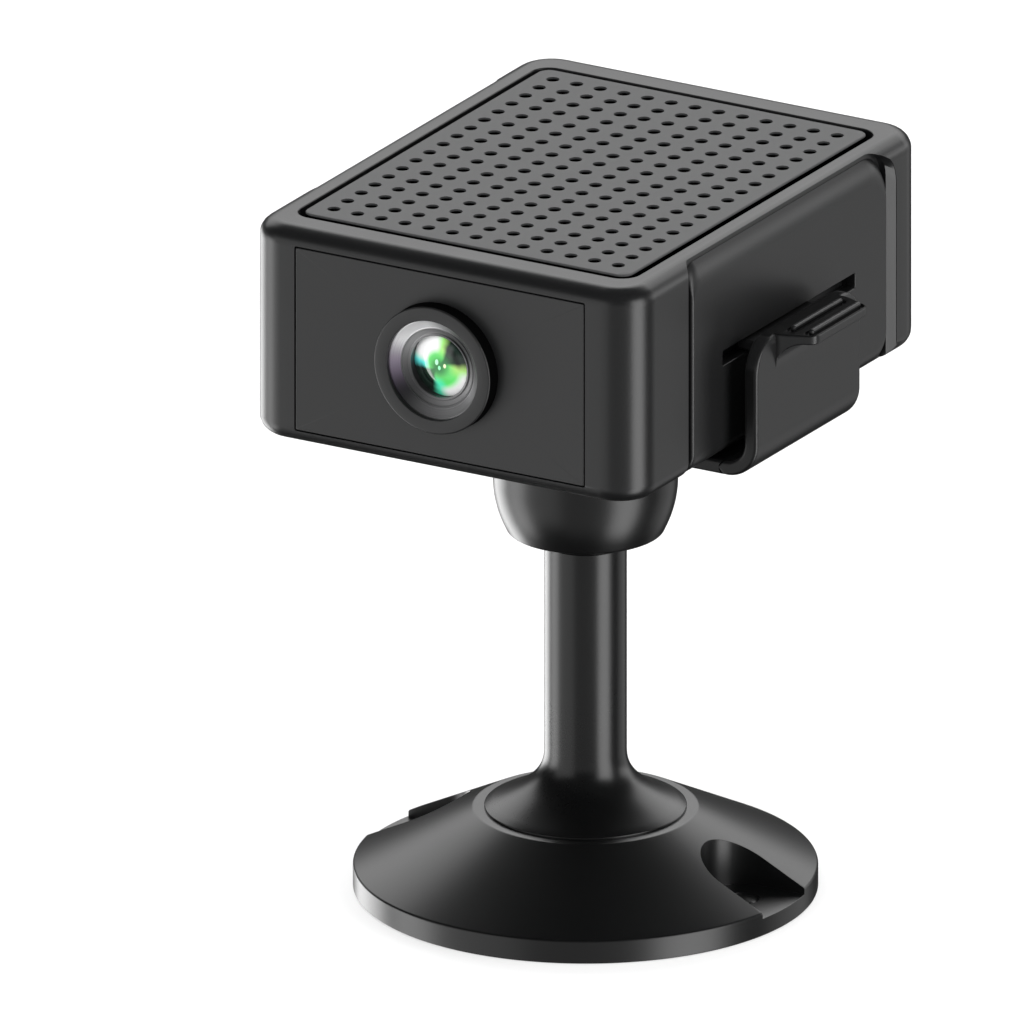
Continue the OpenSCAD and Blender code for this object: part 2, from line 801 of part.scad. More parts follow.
module lens_barrel() {
    start = 0.65 - ring_proud;
    seat = glass_r + fit;
    color("#8f9297") turned([
        [ring_mouth_r - 0.15, start], [barrel_r, start], [barrel_r, start + barrel_l],
        [seat, start + barrel_l], [seat, start + 1.05], [glass_r - 0.14, start + 1.05],
        [glass_r - 0.14, start + 0.8], [glass_r + 0.2, start + 0.65], [glass_r + 0.3, start + 0.4],
        [glass_r + 1.05, start + 0.3], [glass_r + 1.15, start + 0.15]
    ]);
}

// A lens element with one round face; round_r is its radius, front says which way it faces
module lens_element(t0, t1, round_r, front) {
    intersection() {
        bore_y(glass_r, front ? t0 - 1 : t0, front ? t1 : t1 + 1);
        translate([0, front_y + (front ? t0 + round_r : t1 - round_r), lens_z]) sphere(r = round_r);
    }
}

module front_lens() {
    color("#1f6b54", 0.8) lens_element(lens_start, lens_start + front_lens_t, front_round, true);
}

module lens_spacer() {
    color("#2a2b2d") difference() {
        bore_y(glass_r, lens_start + front_lens_t + fit, lens_start + rear_lens_at);
        bore_y(glass_r - 0.8, lens_start, lens_start + rear_lens_at + 1);
    }
}

module rear_lens() {
    color("#5b7f8c", 0.8)
        lens_element(lens_start + rear_lens_at + fit, lens_start + retainer_at, rear_round, false);
}

module lens_retainer() {
    color("#2a2b2d") difference() {
        bore_y(glass_r, lens_start + retainer_at + fit, lens_start + retainer_at + retainer_t);
        bore_y(glass_r - 1.1, lens_start, lens_start + retainer_at + 2);
    }
}

module lens_holder() {
    base = sensor_board_y - holder_base_t;
    color("#17181a") difference() {
        union() {
            bore_y(barrel_r + 1, led_board_y + board_t + 0.3, sensor_board_y - 1);
            upright(holder_size, holder_size, base, sensor_board_y);
        }
        bore_y(barrel_r + fit, 0, holder_pocket_y + 0.2);
        upright(holder_room, holder_room, holder_pocket_y, sensor_board_y + 1);
    }
}

module ir_filter() {
    front = holder_pocket_y + 0.15;
    color("#b8495a", 0.7) upright(filter_size, filter_size, front, front + filter_t);
}

module image_sensor() {
    color("#39423c") upright(sensor_size[0], sensor_size[1], sensor_board_y - sensor_t, sensor_board_y);
}

module sensor_board() {
    color("#1d5b36") difference() {
        upright(sensor_board_size[0], sensor_board_size[1], sensor_board_y, sensor_back);
        for (side = [-1, 1])
            bore_y(small_bore_r + 0.2, sensor_board_y - 1, sensor_board_y + 2, side * post_x);
    }
}

module sensor_screws() {
    color("#b4b6b8") for (side = [-1, 1]) {
        bore_y(small_head_r, sensor_back, sensor_back + small_head_t, side * post_x);
        bore_y(small_bore_r, sensor_board_y - 5, sensor_back + 0.4, side * post_x);
    }
}

module led_board() {
    color("#1d5b36") difference() {
        upright(led_board_size[0], led_board_size[1], led_board_y, led_board_y + board_t);
        bore_y(ring_r + 1.2, 0, led_board_y + 3);
        for (side = [-1, 1])
            bore_y(post_r + gap, 0, led_board_y + 3, side * post_x);
    }
}

module ir_leds() {
    color("#3b2f4a") for (side = [-1, 1], up = [-1, 1])
        bore_y(led_r, panel_t + 0.3, led_board_y, side * led_x, lens_z + up * led_up);
}

module light_sensor() {
    color("#6b6f73")
        upright(light_size[0], light_size[0], led_board_y - light_size[1], led_board_y, light_x);
}

// ---- Electronics ----

module main_board() {
    color("#1d5b36") difference() {
        block([board[0], board[1], board_t], [0, (board_front + board_rear) / 2, board_z]);
        for (side = [-1, 1], y = [board_front + standoff_front, board_rear - standoff_rear])
            translate([side * standoff_x, y, board_z - 1]) cylinder(r = small_bore_r + 0.2, h = 4);
        for (side = [-1, 1])
            block([2 * board_notch, 2 * board_notch, 4],
                [side * board[0] / 2, board_rear, board_z - 1]);
    }
}

module board_screws() {
    color("#b4b6b8")
        for (side = [-1, 1], y = [board_front + standoff_front, board_rear - standoff_rear])
            translate([side * standoff_x, y, board_z - small_head_t]) {
                cylinder(r = small_head_r, h = small_head_t);
                cylinder(r = small_bore_r, h = board_t + 4);
            }
}

module processor() {
    color("#26282a") block(chip, [0, chip_y, board_z + board_t]);
}

module thermal_pad() {
    color("#8aa0a8") block([chip[0], chip[1], thermal_t], [0, chip_y, board_z + board_t + chip[2]]);
}

module heat_sink() {
    z = board_z + board_t + chip[2] + thermal_t;
    color("#a6a9ad") {
        block(sink, [0, chip_y, z]);
        for (i = [-fins_each_side:fins_each_side])
            block(fin, [i * fin_pitch, chip_y, z + sink[2] - 0.2]);
    }
}

module wifi_module() {
    color("#9b9d9f") block(radio, [radio_x, speaker_y - 1, board_z + board_t]);
}

module antenna() {
    color("#b78b4a") block(antenna_size, [-inner_x + 0.2, speaker_y - 4, board_z + board_t + 2]);
}

module speaker() {
    color("#4a4c4f") translate([0, speaker_y, 0]) {
        translate([0, 0, ceiling_z - speaker_flange_t]) cylinder(r = speaker_r, h = speaker_flange_t);
        translate([0, 0, ceiling_z - 2]) cylinder(r1 = 6, r2 = speaker_r - 0.5, h = 1.5);
        translate([0, 0, ceiling_z - 3.8]) cylinder(r = magnet_r, h = 2);
    }
}

module microphone() {
    color("#c0c2c4") translate([0, mic_y, ceiling_z - mic_t]) cylinder(r = mic_r, h = mic_t);
}

module battery_pack() {
    y = board_rear - 1.5 - battery[1] / 2;
    color("#3f6aa8") block(battery, [0, y, floor_z]);
}

module battery_lead() {
    color("#b33a30") for (side = [-1, 1])
        translate([side * lead_x, board_front + 4, floor_z + battery[2]])
            cylinder(r = lead_r, h = board_z - floor_z - battery[2]);
}

module sensor_cable() {
    y0 = front_y + sensor_back;
    y1 = board_front + cable_lap;
    top = board_z + board_t;
    low = lens_z - cable_down;
    color("#c9a24a") {
        block([cable_w, cable_t, top + cable_t - low], [0, y0 + cable_t / 2, low]);
        block([cable_w, y1 - y0, cable_t], [0, (y0 + y1) / 2, top]);
    }
}

// ---- Rear face ----

module usb_port() {
    color("#b9bbbd") difference() {
        block(usb, [usb_x, half_d - 0.3 - usb[1] / 2, usb_z + gap]);
        block([usb[0] - 2 * usb_wall, usb[1], usb[2] - 2 * usb_wall],
            [usb_x, half_d - usb[1] / 2 + 0.9, usb_z + gap + usb_wall]);
    }
}

module card_slot() {
    y = board_rear - 0.3 - slot_box[1] / 2;
    color("#b9bbbd") difference() {
        block(slot_box, [card_x, y, card_z + gap]);
        block([card[0] + 2 * fit, slot_box[1], card[2] + 2 * fit],
            [card_x, y + 0.8, card_z + gap + 0.25 - fit]);
    }
}

module memory_card() {
    color("#26272a") block(card, [card_x, half_d - 0.6 - card[1] / 2, card_z + gap + 0.25]);
}

module button_switch() {
    color("#85878a") {
        translate([button_x - 3, switch_face - 3.4, board_z + board_t])
            cube([6, 3, upper_z + 2.6 - board_z - board_t]);
        translate([button_x, switch_face - 1, upper_z]) rotate([-90, 0, 0]) cylinder(r = 1.3, h = 0.9);
    }
}

module power_button() {
    color("#2a2b2e") {
        translate([button_x, inner_y - 0.8, upper_z]) rotate([-90, 0, 0])
            cylinder(r = button_r, h = end_wall + button_flange[1] + button_head);
        translate([button_x, inner_y - 0.9, upper_z]) rotate([-90, 0, 0])
            cylinder(r = button_r + button_flange[0], h = button_flange[1]);
    }
}

module reset_switch() {
    color("#85878a") translate([reset_x - 2, switch_face - 3.2, board_z + board_t])
        cube([4, 2.8, upper_z + 2 - board_z - board_t]);
}

module reset_button() {
    color("#d8d8d4") translate([reset_x, switch_face - 0.4 + reset_travel + 0.05, upper_z])
        rotate([-90, 0, 0]) cylinder(r = plunger_r, h = 0.9);
}

module light_pipe() {
    color("#e6e8ea") translate([pipe_x, inner_y - 3, upper_z]) rotate([-90, 0, 0])
        cylinder(r = pipe_r, h = end_wall + 3);
}

base_disc();
base_pad();
base_weight();
stem();
stem_screw();
stem_washer();
ball_stud();
friction_band();
seat_cup();
seat_spring();
collar();
cradle_plate();
cradle_pad();
clip_arm_left();
clip_arm_right();
housing();
bottom_cover();
cover_screws();
side_panel_left();
side_panel_right();
top_grille();
dust_mesh();
front_panel();
lens_ring();
lens_barrel();
front_lens();
lens_spacer();
rear_lens();
lens_retainer();
lens_holder();
ir_filter();
image_sensor();
sensor_board();
sensor_screws();
led_board();
ir_leds();
light_sensor();
main_board();
board_screws();
processor();
thermal_pad();
heat_sink();
wifi_module();
antenna();
speaker();
microphone();
battery_pack();
battery_lead();
sensor_cable();
usb_port();
card_slot();
memory_card();
button_switch();
power_button();
reset_switch();
reset_button();
light_pipe();
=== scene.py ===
import math
from types import SimpleNamespace

import bmesh
import bpy
import numpy as np
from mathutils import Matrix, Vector


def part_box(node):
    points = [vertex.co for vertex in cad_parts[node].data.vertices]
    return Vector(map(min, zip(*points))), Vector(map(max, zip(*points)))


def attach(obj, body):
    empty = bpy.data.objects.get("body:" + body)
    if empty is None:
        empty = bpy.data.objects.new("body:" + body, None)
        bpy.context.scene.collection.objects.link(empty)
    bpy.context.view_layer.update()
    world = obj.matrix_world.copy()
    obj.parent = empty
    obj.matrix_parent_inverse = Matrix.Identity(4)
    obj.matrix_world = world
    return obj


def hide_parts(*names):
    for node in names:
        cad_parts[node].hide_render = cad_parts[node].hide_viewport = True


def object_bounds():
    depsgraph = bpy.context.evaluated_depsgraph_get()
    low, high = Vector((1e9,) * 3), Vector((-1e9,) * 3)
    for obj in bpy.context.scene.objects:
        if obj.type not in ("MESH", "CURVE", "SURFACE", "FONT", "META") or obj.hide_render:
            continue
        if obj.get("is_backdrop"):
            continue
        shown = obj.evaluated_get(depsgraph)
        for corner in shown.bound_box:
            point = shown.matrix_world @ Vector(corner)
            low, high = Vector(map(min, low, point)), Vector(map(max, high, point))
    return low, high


bl_info = {
    "name": "Desk security camera",
    "version": (1, 0, 0),
    "blender": (4, 5, 0),
    "location": "View3D > Sidebar > Security camera",
    "description": "Builds the outer surfaces and finishes of a desk security camera round its CAD frame",
    "category": "Object",
}

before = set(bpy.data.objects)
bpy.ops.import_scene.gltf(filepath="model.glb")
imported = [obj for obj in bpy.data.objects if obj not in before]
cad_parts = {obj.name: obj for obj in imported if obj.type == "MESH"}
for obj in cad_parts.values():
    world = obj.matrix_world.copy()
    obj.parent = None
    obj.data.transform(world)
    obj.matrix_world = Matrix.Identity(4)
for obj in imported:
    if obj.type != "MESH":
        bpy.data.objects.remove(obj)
CAD_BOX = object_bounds()

# Shapes are worked out in millimetres and written to the meshes in metres
MM = 0.001
CORNER_STEPS = 8
EDGE_STEPS = 5
TURN_STEPS = 128
WELD = 1e-6
SIDES = (-1, 1)


def corners(node):
    """Lowest and highest corner of a CAD node, in millimetres."""
    lo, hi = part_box(node)
    return np.array(lo) / MM, np.array(hi) / MM


BODY_LO, BODY_HI = corners("housing")
PANEL_LO, PANEL_HI = corners("front_panel")
SIDE_LO, SIDE_HI = corners("side_panel_right")
GRILLE_LO, GRILLE_HI = corners("top_grille")
MESH_LO, MESH_HI = corners("dust_mesh")
RING_LO, RING_HI = corners("lens_ring")
BARREL_LO, BARREL_HI = corners("lens_barrel")
GLASS_LO, GLASS_HI = corners("front_lens")
COVER_LO, COVER_HI = corners("bottom_cover")
ARM_LO, ARM_HI = corners("clip_arm_right")
PLATE_LO, PLATE_HI = corners("cradle_plate")
COLLAR_LO, COLLAR_HI = corners("collar")
BALL_LO, BALL_HI = corners("ball_stud")
STEM_LO, STEM_HI = corners("stem")
FOOT_LO, FOOT_HI = corners("base_disc")
SOLE_LO, SOLE_HI = corners("base_pad")
USB_LO, USB_HI = corners("usb_port")
CARD_LO, CARD_HI = corners("memory_card")
BUTTON_LO, BUTTON_HI = corners("power_button")
PIPE_LO, PIPE_HI = corners("light_pipe")
RESET_LO, RESET_HI = corners("reset_button")
BOARD_LO, BOARD_HI = corners("main_board")
SENSOR_LO, SENSOR_HI = corners("sensor_board")
SPEAKER_LO, SPEAKER_HI = corners("speaker")

FRONT = BODY_LO[1]
REAR = BODY_HI[1]
LENS_Z = (RING_LO[2] + RING_HI[2]) / 2
LENS = (0, LENS_Z)


# ---- Sizes and colours that a user would change ----


def length(name, description, value):
    """A length property; value is its default in millimetres."""
    return bpy.props.FloatProperty(
        name=name, description=description, default=value * MM, min=0, precision=5, unit="LENGTH"
    )


def share(name, description, value):
    """A plain number property from 0 to 1."""
    return bpy.props.FloatProperty(
        name=name, description=description, default=value, min=0, max=1, subtype="FACTOR"
    )


def colour(name, description, *value):
    """A colour property."""
    return bpy.props.FloatVectorProperty(
        name=name, description=description, default=value, size=3, min=0, max=1, subtype="COLOR"
    )


class BodySizes(bpy.types.PropertyGroup):
    """Sizes of the camera body and what is set into it."""

    corner: length("Corner radius", "Radius of the upright corners", 4.6)
    edge: length("Edge radius", "Radius along the top and bottom edges", 2)
    wall: length("Side wall", "Thickness of the side walls", 2.5)
    end_wall: length("End wall", "Thickness of the front and rear walls", 2.2)
    top_wall: length("Top wall", "Thickness of the wall under the grille", 1.2)
    lip: length("Lip radius", "Rounding along the rims of recesses", 0.16)
    recess_corner: length("Recess corner", "Corner radius of the grille recess", 2.2)
    recess_gap: length("Grille groove", "Width of the groove around the grille plate", 0.8)
    side_groove: length("Side groove", "Width of the groove ahead of each side panel", 1.5)
    side_gap: length("Side gap", "Gap behind each side panel", 1.5)
    side_inset: length("Panel inset", "How far a side panel lies inside the body side", 0.3)
    slot_front: length("Slot front", "Distance from the middle to the front end of the clip slot", 12.2)
    slot_rear: length("Slot rear", "Distance from the middle to the rear end of the clip slot", 16.9)
    slot_up: length("Slot height", "Height of the slot above the underside of the body", 10.7)
    slot_open: length("Slot opening", "Height of the opening of the slot", 1.7)
    pitch: length("Hole pitch", "Distance between grille holes", 3.01)
    hole: length("Hole diameter", "Diameter of a grille hole", 1.5)
    shoulder: length("Panel shoulder", "Radius along the top of the side panels", 4.2)


class LensSizes(bpy.types.PropertyGroup):
    """Sizes of the lens ring, the barrel face and the glass."""

    mouth: length("Mouth radius", "Radius of the opening in the lens ring", 5.75)
    ring_edge: length("Ring edge", "Rounding of the ring's outer edge", 0.2)
    dome: length("Dome radius", "Radius of curvature of the front glass", 6.6)
    glass: length("Glass radius", "Radius of the front glass", 3.7)


class CradleSizes(bpy.types.PropertyGroup):
    """Sizes of the cradle and its clip arms."""

    plate: length("Thickness", "Thickness of the plate and arms", 1.65)
    bend: length("Bend radius", "Inside radius of the bend from plate to arm", 2.3)
    arm_corner: length("Arm corner", "Corner radius at the top of an arm", 4)
    edge: length("Edge radius", "Rounding along the edges of plate and arms", 0.42)
    hook_half: length("Hook half length", "Half length of the hook in the body slot", 7.2)
    tab_out: length("Tab reach", "How far the thumb tab stands out from the arm", 4.25)
    tab_root: length("Tab root", "Half length of the thumb tab at the arm", 7.3)
    tab_tip: length("Tab tip", "Half length of the thumb tab at its outer edge", 6.05)
    tab: length("Tab thickness", "Thickness of the thumb tab", 1.1)
    hollow: length("Tab hollow", "Radius of the hollow under the thumb tab", 3)


class StandSizes(bpy.types.PropertyGroup):
    """Sizes of the collar, the stem and the foot."""

    bowl: length("Bowl height", "Height of the rounded part of the collar", 6.1)
    taper: length("Bowl taper", "How much narrower the collar is at its lower edge", 1.6)
    stem: length("Stem radius", "Radius of the stem", 4.55)
    flange: length("Flange radius", "Radius of the flange at the lower end of the stem", 11.15)
    flange_edge: length("Flange edge", "Thickness of the edge of the flange", 0.3)
    flare: length("Flare height", "Height of the flare above the flange", 6.7)
    rim: length("Rim height", "Height of the upright rim of the foot", 2.75)
    top: length("Foot top", "Radius of the flat top of the foot", 12.4)
    slot: length("Screw slot", "Half width of the screw slots", 4.6)
    slot_floor: length("Slot floor", "Height of the floor of the screw slots", 2.1)
    screw: length("Screw distance", "Distance from the stem axis to each wall screw", 19.9)


class Finishes(bpy.types.PropertyGroup):
    """Colours of the visible finishes."""

    body: colour("Body", "Moulded plastic of the camera body", 0.0050, 0.0051, 0.0053)
    panel: colour("Side panels", "Moulded plastic of the side panels", 0.0055, 0.0056, 0.0058)
    front: colour("Front panel", "Smooth panel round the lens", 0.0060, 0.0061, 0.0063)
    grille: colour("Grille", "Perforated top plate", 0.0350, 0.0354, 0.0360)
    stand: colour("Stand", "Foot, stem and collar", 0.0022, 0.0023, 0.0024)
    clip: colour("Cradle", "Cradle plate and clip arms", 0.0055, 0.0056, 0.0058)
    rubber: colour("Rubber", "Sole and cradle sheet", 0.018, 0.018, 0.018)
    grain: share("Grain", "Strength of the fine moulded grain", 0.5)


SETTINGS = {
    "camera_body": BodySizes,
    "camera_lens": LensSizes,
    "camera_cradle": CradleSizes,
    "camera_stand": StandSizes,
    "camera_finishes": Finishes,
}


def sizes(name):
    """The sizes of one property group as plain numbers in millimetres."""
    group = getattr(bpy.context.scene, name)
    return SimpleNamespace(**{k: getattr(group, k) / MM for k in SETTINGS[name].__annotations__})


# ---- Shapes: a shape is (points, faces), points in millimetres ----


def arc(centre, radius, start, end, steps=CORNER_STEPS):
    """Points of a circular arc from angle start to angle end, in degrees: centre + radius (cos, sin)."""
    turn = np.radians(np.linspace(start, end, steps + 1))
    return np.array(centre) + radius * np.stack([np.cos(turn), np.sin(turn)], axis=1)


def frame_ring(x0, y0, x1, y1, radii, sides=(1, 1), steps=CORNER_STEPS):
    """Outline of a rectangle with a round corner of its own radius at each end of each side, anticlockwise
    from the lower left corner; sides says into how many parts the level and the upright sides are cut."""
    r = np.broadcast_to(radii, 4)
    centres = [
        (x0 + r[0], y0 + r[0]),
        (x1 - r[1], y0 + r[1]),
        (x1 - r[2], y1 - r[2]),
        (x0 + r[3], y1 - r[3]),
    ]
    rounds = [arc(c, r[k], 180 + 90 * k, 270 + 90 * k, steps) for k, c in enumerate(centres)]
    line = []
    for k in range(4):
        start, end = rounds[k][-1], rounds[(k + 1) % 4][0]
        part = np.linspace(0, 1, sides[k % 2] + 1)[1:-1, None]
        line += [rounds[k], start + (end - start) * part]
    return np.concatenate(line)


def filleted(points, radii, steps=EDGE_STEPS, closed=True):
    """An outline whose corners are rounded by arcs: each arc runs between the two points at the tangent
    length radius / tan(half the corner's angle) from the corner, about a centre on its bisector."""
    p = np.array(points, float)
    r = np.broadcast_to(radii, len(p))
    line = []
    for k, corner in enumerate(p):
        if r[k] == 0 or (not closed and k in (0, len(p) - 1)):
            line.append(corner[None])
            continue
        u = p[k - 1] - corner
        v = p[(k + 1) % len(p)] - corner
        u, v = u / np.linalg.norm(u), v / np.linalg.norm(v)
        half = math.acos(np.clip(u @ v, -1, 1)) / 2
        middle = corner + (u + v) / np.linalg.norm(u + v) * r[k] / math.sin(half)
        first = corner + u * r[k] / math.tan(half) - middle
        last = corner + v * r[k] / math.tan(half) - middle
        span = math.pi - 2 * half
        t = np.linspace(0, 1, steps + 1)[:, None]
        line.append(middle + (np.sin((1 - t) * span) * first + np.sin(t * span) * last) / math.sin(span))
    return np.concatenate(line)


def rounded(rows, steps=EDGE_STEPS, closed=True):
    """An outline from rows of (u, v, radius of the corner there)."""
    rows = np.array(rows, float)
    return filleted(rows[:, :2], rows[:, 2], steps, closed)


def quarter(steps=EDGE_STEPS):
    """Angles of a quarter turn, in radians."""
    return np.radians(np.linspace(0, 90, steps + 1))


def placed(u, v, w, axis):
    """Points of plane coordinates u, v raised by w along an axis; u, v are the other two axes in order."""
    order = {"X": (w, u, v), "Y": (u, w, v), "Z": (u, v, w)}[axis]
    return np.stack(np.broadcast_arrays(*order), axis=-1)


def stack(outlines, heights, axis="Z"):
    """Rings made of plane outlines, each raised to its own height along the axis."""
    flat = np.array(outlines)
    return placed(flat[..., 0], flat[..., 1], np.array(heights, float)[:, None], axis)


def loft(rings, joined=False, capped=True):
    """A surface through rings of equally many points: quads between neighbouring rings, and a flat face
    over each end, unless the last ring is joined to the first."""
    rings = np.asarray(rings, float)
    rows, cols = rings.shape[:2]
    i = np.arange(rows if joined else rows - 1)[:, None]
    j = np.arange(cols)[None, :]
    k = (i + 1) % rows
    n = (j + 1) % cols
    faces = np.stack(
        np.broadcast_arrays(i * cols + j, i * cols + n, k * cols + n, k * cols + j), axis=-1
    )
    faces = faces.reshape(-1, 4).tolist()
    if capped and not joined:
        faces += [np.arange(cols).tolist(), np.arange((rows - 1) * cols, rows * cols).tolist()]
    return rings.reshape(-1, 3), faces


def turned(profile, centre=(0, 0), axis="Z", joined=False, steps=TURN_STEPS):
    """A body of revolution: each point (radius, height) of the profile goes once round the axis through
    centre; joined closes the profile into a ring, and otherwise its ends lie on the axis."""
    profile = np.array(profile, float)
    turn = np.linspace(0, 2 * np.pi, steps, endpoint=False)
    radius = profile[:, :1]
    u = centre[0] + radius * np.cos(turn)
    v = centre[1] + radius * np.sin(turn)
    return loft(placed(u, v, profile[:, 1:], axis), joined)


def rod(radius, start, end, centre=(0, 0), axis="Z", edge=0, steps=48):
    """A straight round bar between two heights along the axis, its rims rounded by edge."""
    rows = [(0, start, 0), (radius, start, edge), (radius, end, edge), (0, end, 0)]
    return turned(rounded(rows, 4, False), centre, axis, steps=steps)


def soft_block(lo, hi, corner, edge, axis="Z", sides=(1, 1)):
    """A block with round corners seen along the axis and round rims at both ends: the inset of the outline
    and its height follow a quarter circle. lo and hi are (u, v, height along the axis)."""
    turn = quarter()
    inset = np.concatenate([edge * (1 - np.sin(turn)), edge * (1 - np.cos(turn))])
    height = np.concatenate([lo[2] + edge * (1 - np.cos(turn)), hi[2] - edge * (1 - np.sin(turn))])
    outlines = [
        frame_ring(lo[0] + i, lo[1] + i, hi[0] - i, hi[1] - i, np.maximum(corner - i, 0.01), sides)
        for i in inset
    ]
    return loft(stack(outlines, height, axis))


def mirrored(shape):
    """A shape with its X coordinates reversed."""
    points, faces = shape
    return points * np.array([-1, 1, 1]), faces


def middle_of(lo, hi, axis="Y"):
    """The two plane coordinates of the middle of a box seen along an axis."""
    kept = {"X": [1, 2], "Y": [0, 2], "Z": [0, 1]}[axis]
    return tuple((lo[kept] + hi[kept]) / 2)


def around_corners(x, y):
    """The four points (+-x, +-y)."""
    return [(a * x, b * y) for a in SIDES for b in SIDES]


# ---- Meshes and objects ----


def new_mesh(name, shapes):
    """One mesh of several closed shapes, with doubled points merged and every face turned outwards."""
    points, faces, first = [], [], 0
    for at, polygons in shapes:
        points.append(at)
        faces += [[first + k for k in polygon] for polygon in polygons]
        first += len(at)
    mesh = bpy.data.meshes.new(name)
    mesh.from_pydata((np.concatenate(points) * MM).tolist(), [], faces)
    work = bmesh.new()
    work.from_mesh(mesh)
    bmesh.ops.remove_doubles(work, verts=work.verts, dist=WELD)
    bmesh.ops.recalc_face_normals(work, faces=work.faces)
    work.to_mesh(mesh)
    work.free()
    return mesh


def new_piece(name, *shapes):
    """An object at the origin made of closed shapes."""
    piece = bpy.data.objects.new(name, new_mesh(name, shapes))
    bpy.context.scene.collection.objects.link(piece)
    return piece


def settled(piece):
    """Replaces the mesh of a piece by what its modifiers make of it, and removes them."""
    graph = bpy.context.evaluated_depsgraph_get()
    made = bpy.data.meshes.new_from_object(piece.evaluated_get(graph))
    piece.modifiers.clear()
    old, piece.data = piece.data, made
    bpy.data.meshes.remove(old)
    made.name = piece.name
    return piece


def combined(piece, operation, *shapes):
    """Cuts shapes out of a piece, or adds them to it, by one exact boolean."""
    tool = new_piece(piece.name + "_tool", *shapes)
    step = piece.modifiers.new("shape", "BOOLEAN")
    step.object = tool
    step.operation = operation
    step.solver = "EXACT"
    settled(piece)
    mesh = tool.data
    bpy.data.objects.remove(tool)
    bpy.data.meshes.remove(mesh)
    return piece


def cut(piece, *shapes):
    """Removes shapes from a piece."""
    return combined(piece, "DIFFERENCE", *shapes)


def grown(piece, *shapes):
    """Adds shapes to a piece as one solid."""
    return combined(piece, "UNION", *shapes)


def bevelled(piece, width, angle, segments=3):
    """Rounds every edge sharper than angle by width."""
    step = piece.modifiers.new("rims", "BEVEL")
    step.width = width * MM
    step.segments = segments
    step.limit_method = "ANGLE"
    step.angle_limit = math.radians(angle)
    step.use_clamp_overlap = True
    step.miter_outer = "MITER_ARC"
    return settled(piece)


def dress(piece, body, slot_name, node, sharp=40):
    """Smooths a piece, gives it the finish of its material slot, ties it to its CAD body and hides the CAD
    node it stands in for.
    """
    mesh = piece.data
    mesh.shade_smooth()
    mesh.set_sharp_from_angle(angle=math.radians(sharp))
    step = piece.modifiers.new("even shading", "WEIGHTED_NORMAL")
    step.keep_sharp = True
    step.weight = 80
    mesh.materials.clear()
    mesh.materials.append(finish(slot_name))
    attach(piece, body)
    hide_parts(node)


# ---- Finishes ----


class Value:
    """A shader socket with arithmetic: an expression on values adds its Math nodes."""

    def __init__(self, tree, socket):
        self.tree = tree
        self.socket = socket

    def math(self, operation, *others):
        """The result of one Math node on this value and up to two more."""
        made = self.tree.nodes.new("ShaderNodeMath")
        made.operation = operation
        for k, term in enumerate((self, *others)):
            if isinstance(term, Value):
                self.tree.links.new(term.socket, made.inputs[k])
            else:
                made.inputs[k].default_value = term
        return Value(self.tree, made.outputs[0])

    def __add__(self, other):
        return self.math("ADD", other)

    def __mul__(self, other):
        return self.math("MULTIPLY", other)

    def __sub__(self, other):
        return self.math("SUBTRACT", other)

    def __truediv__(self, other):
        return self.math("DIVIDE", other)

    def __rsub__(self, other):
        return (self * -1) + other

    def __pow__(self, other):
        return self.math("POWER", other)

    def __abs__(self):
        return self.math("ABSOLUTE")

    __radd__ = __add__
    __rmul__ = __mul__

    def clamped(self):
        """This value held between 0 and 1."""
        return self.math("MAXIMUM", 0.0).math("MINIMUM", 1.0)

    def step(self, low, high):
        """A smooth rise from 0 at low to 1 at high."""
        t = ((self - low) / (high - low)).clamped()
        return t * t * (3 - 2 * t)


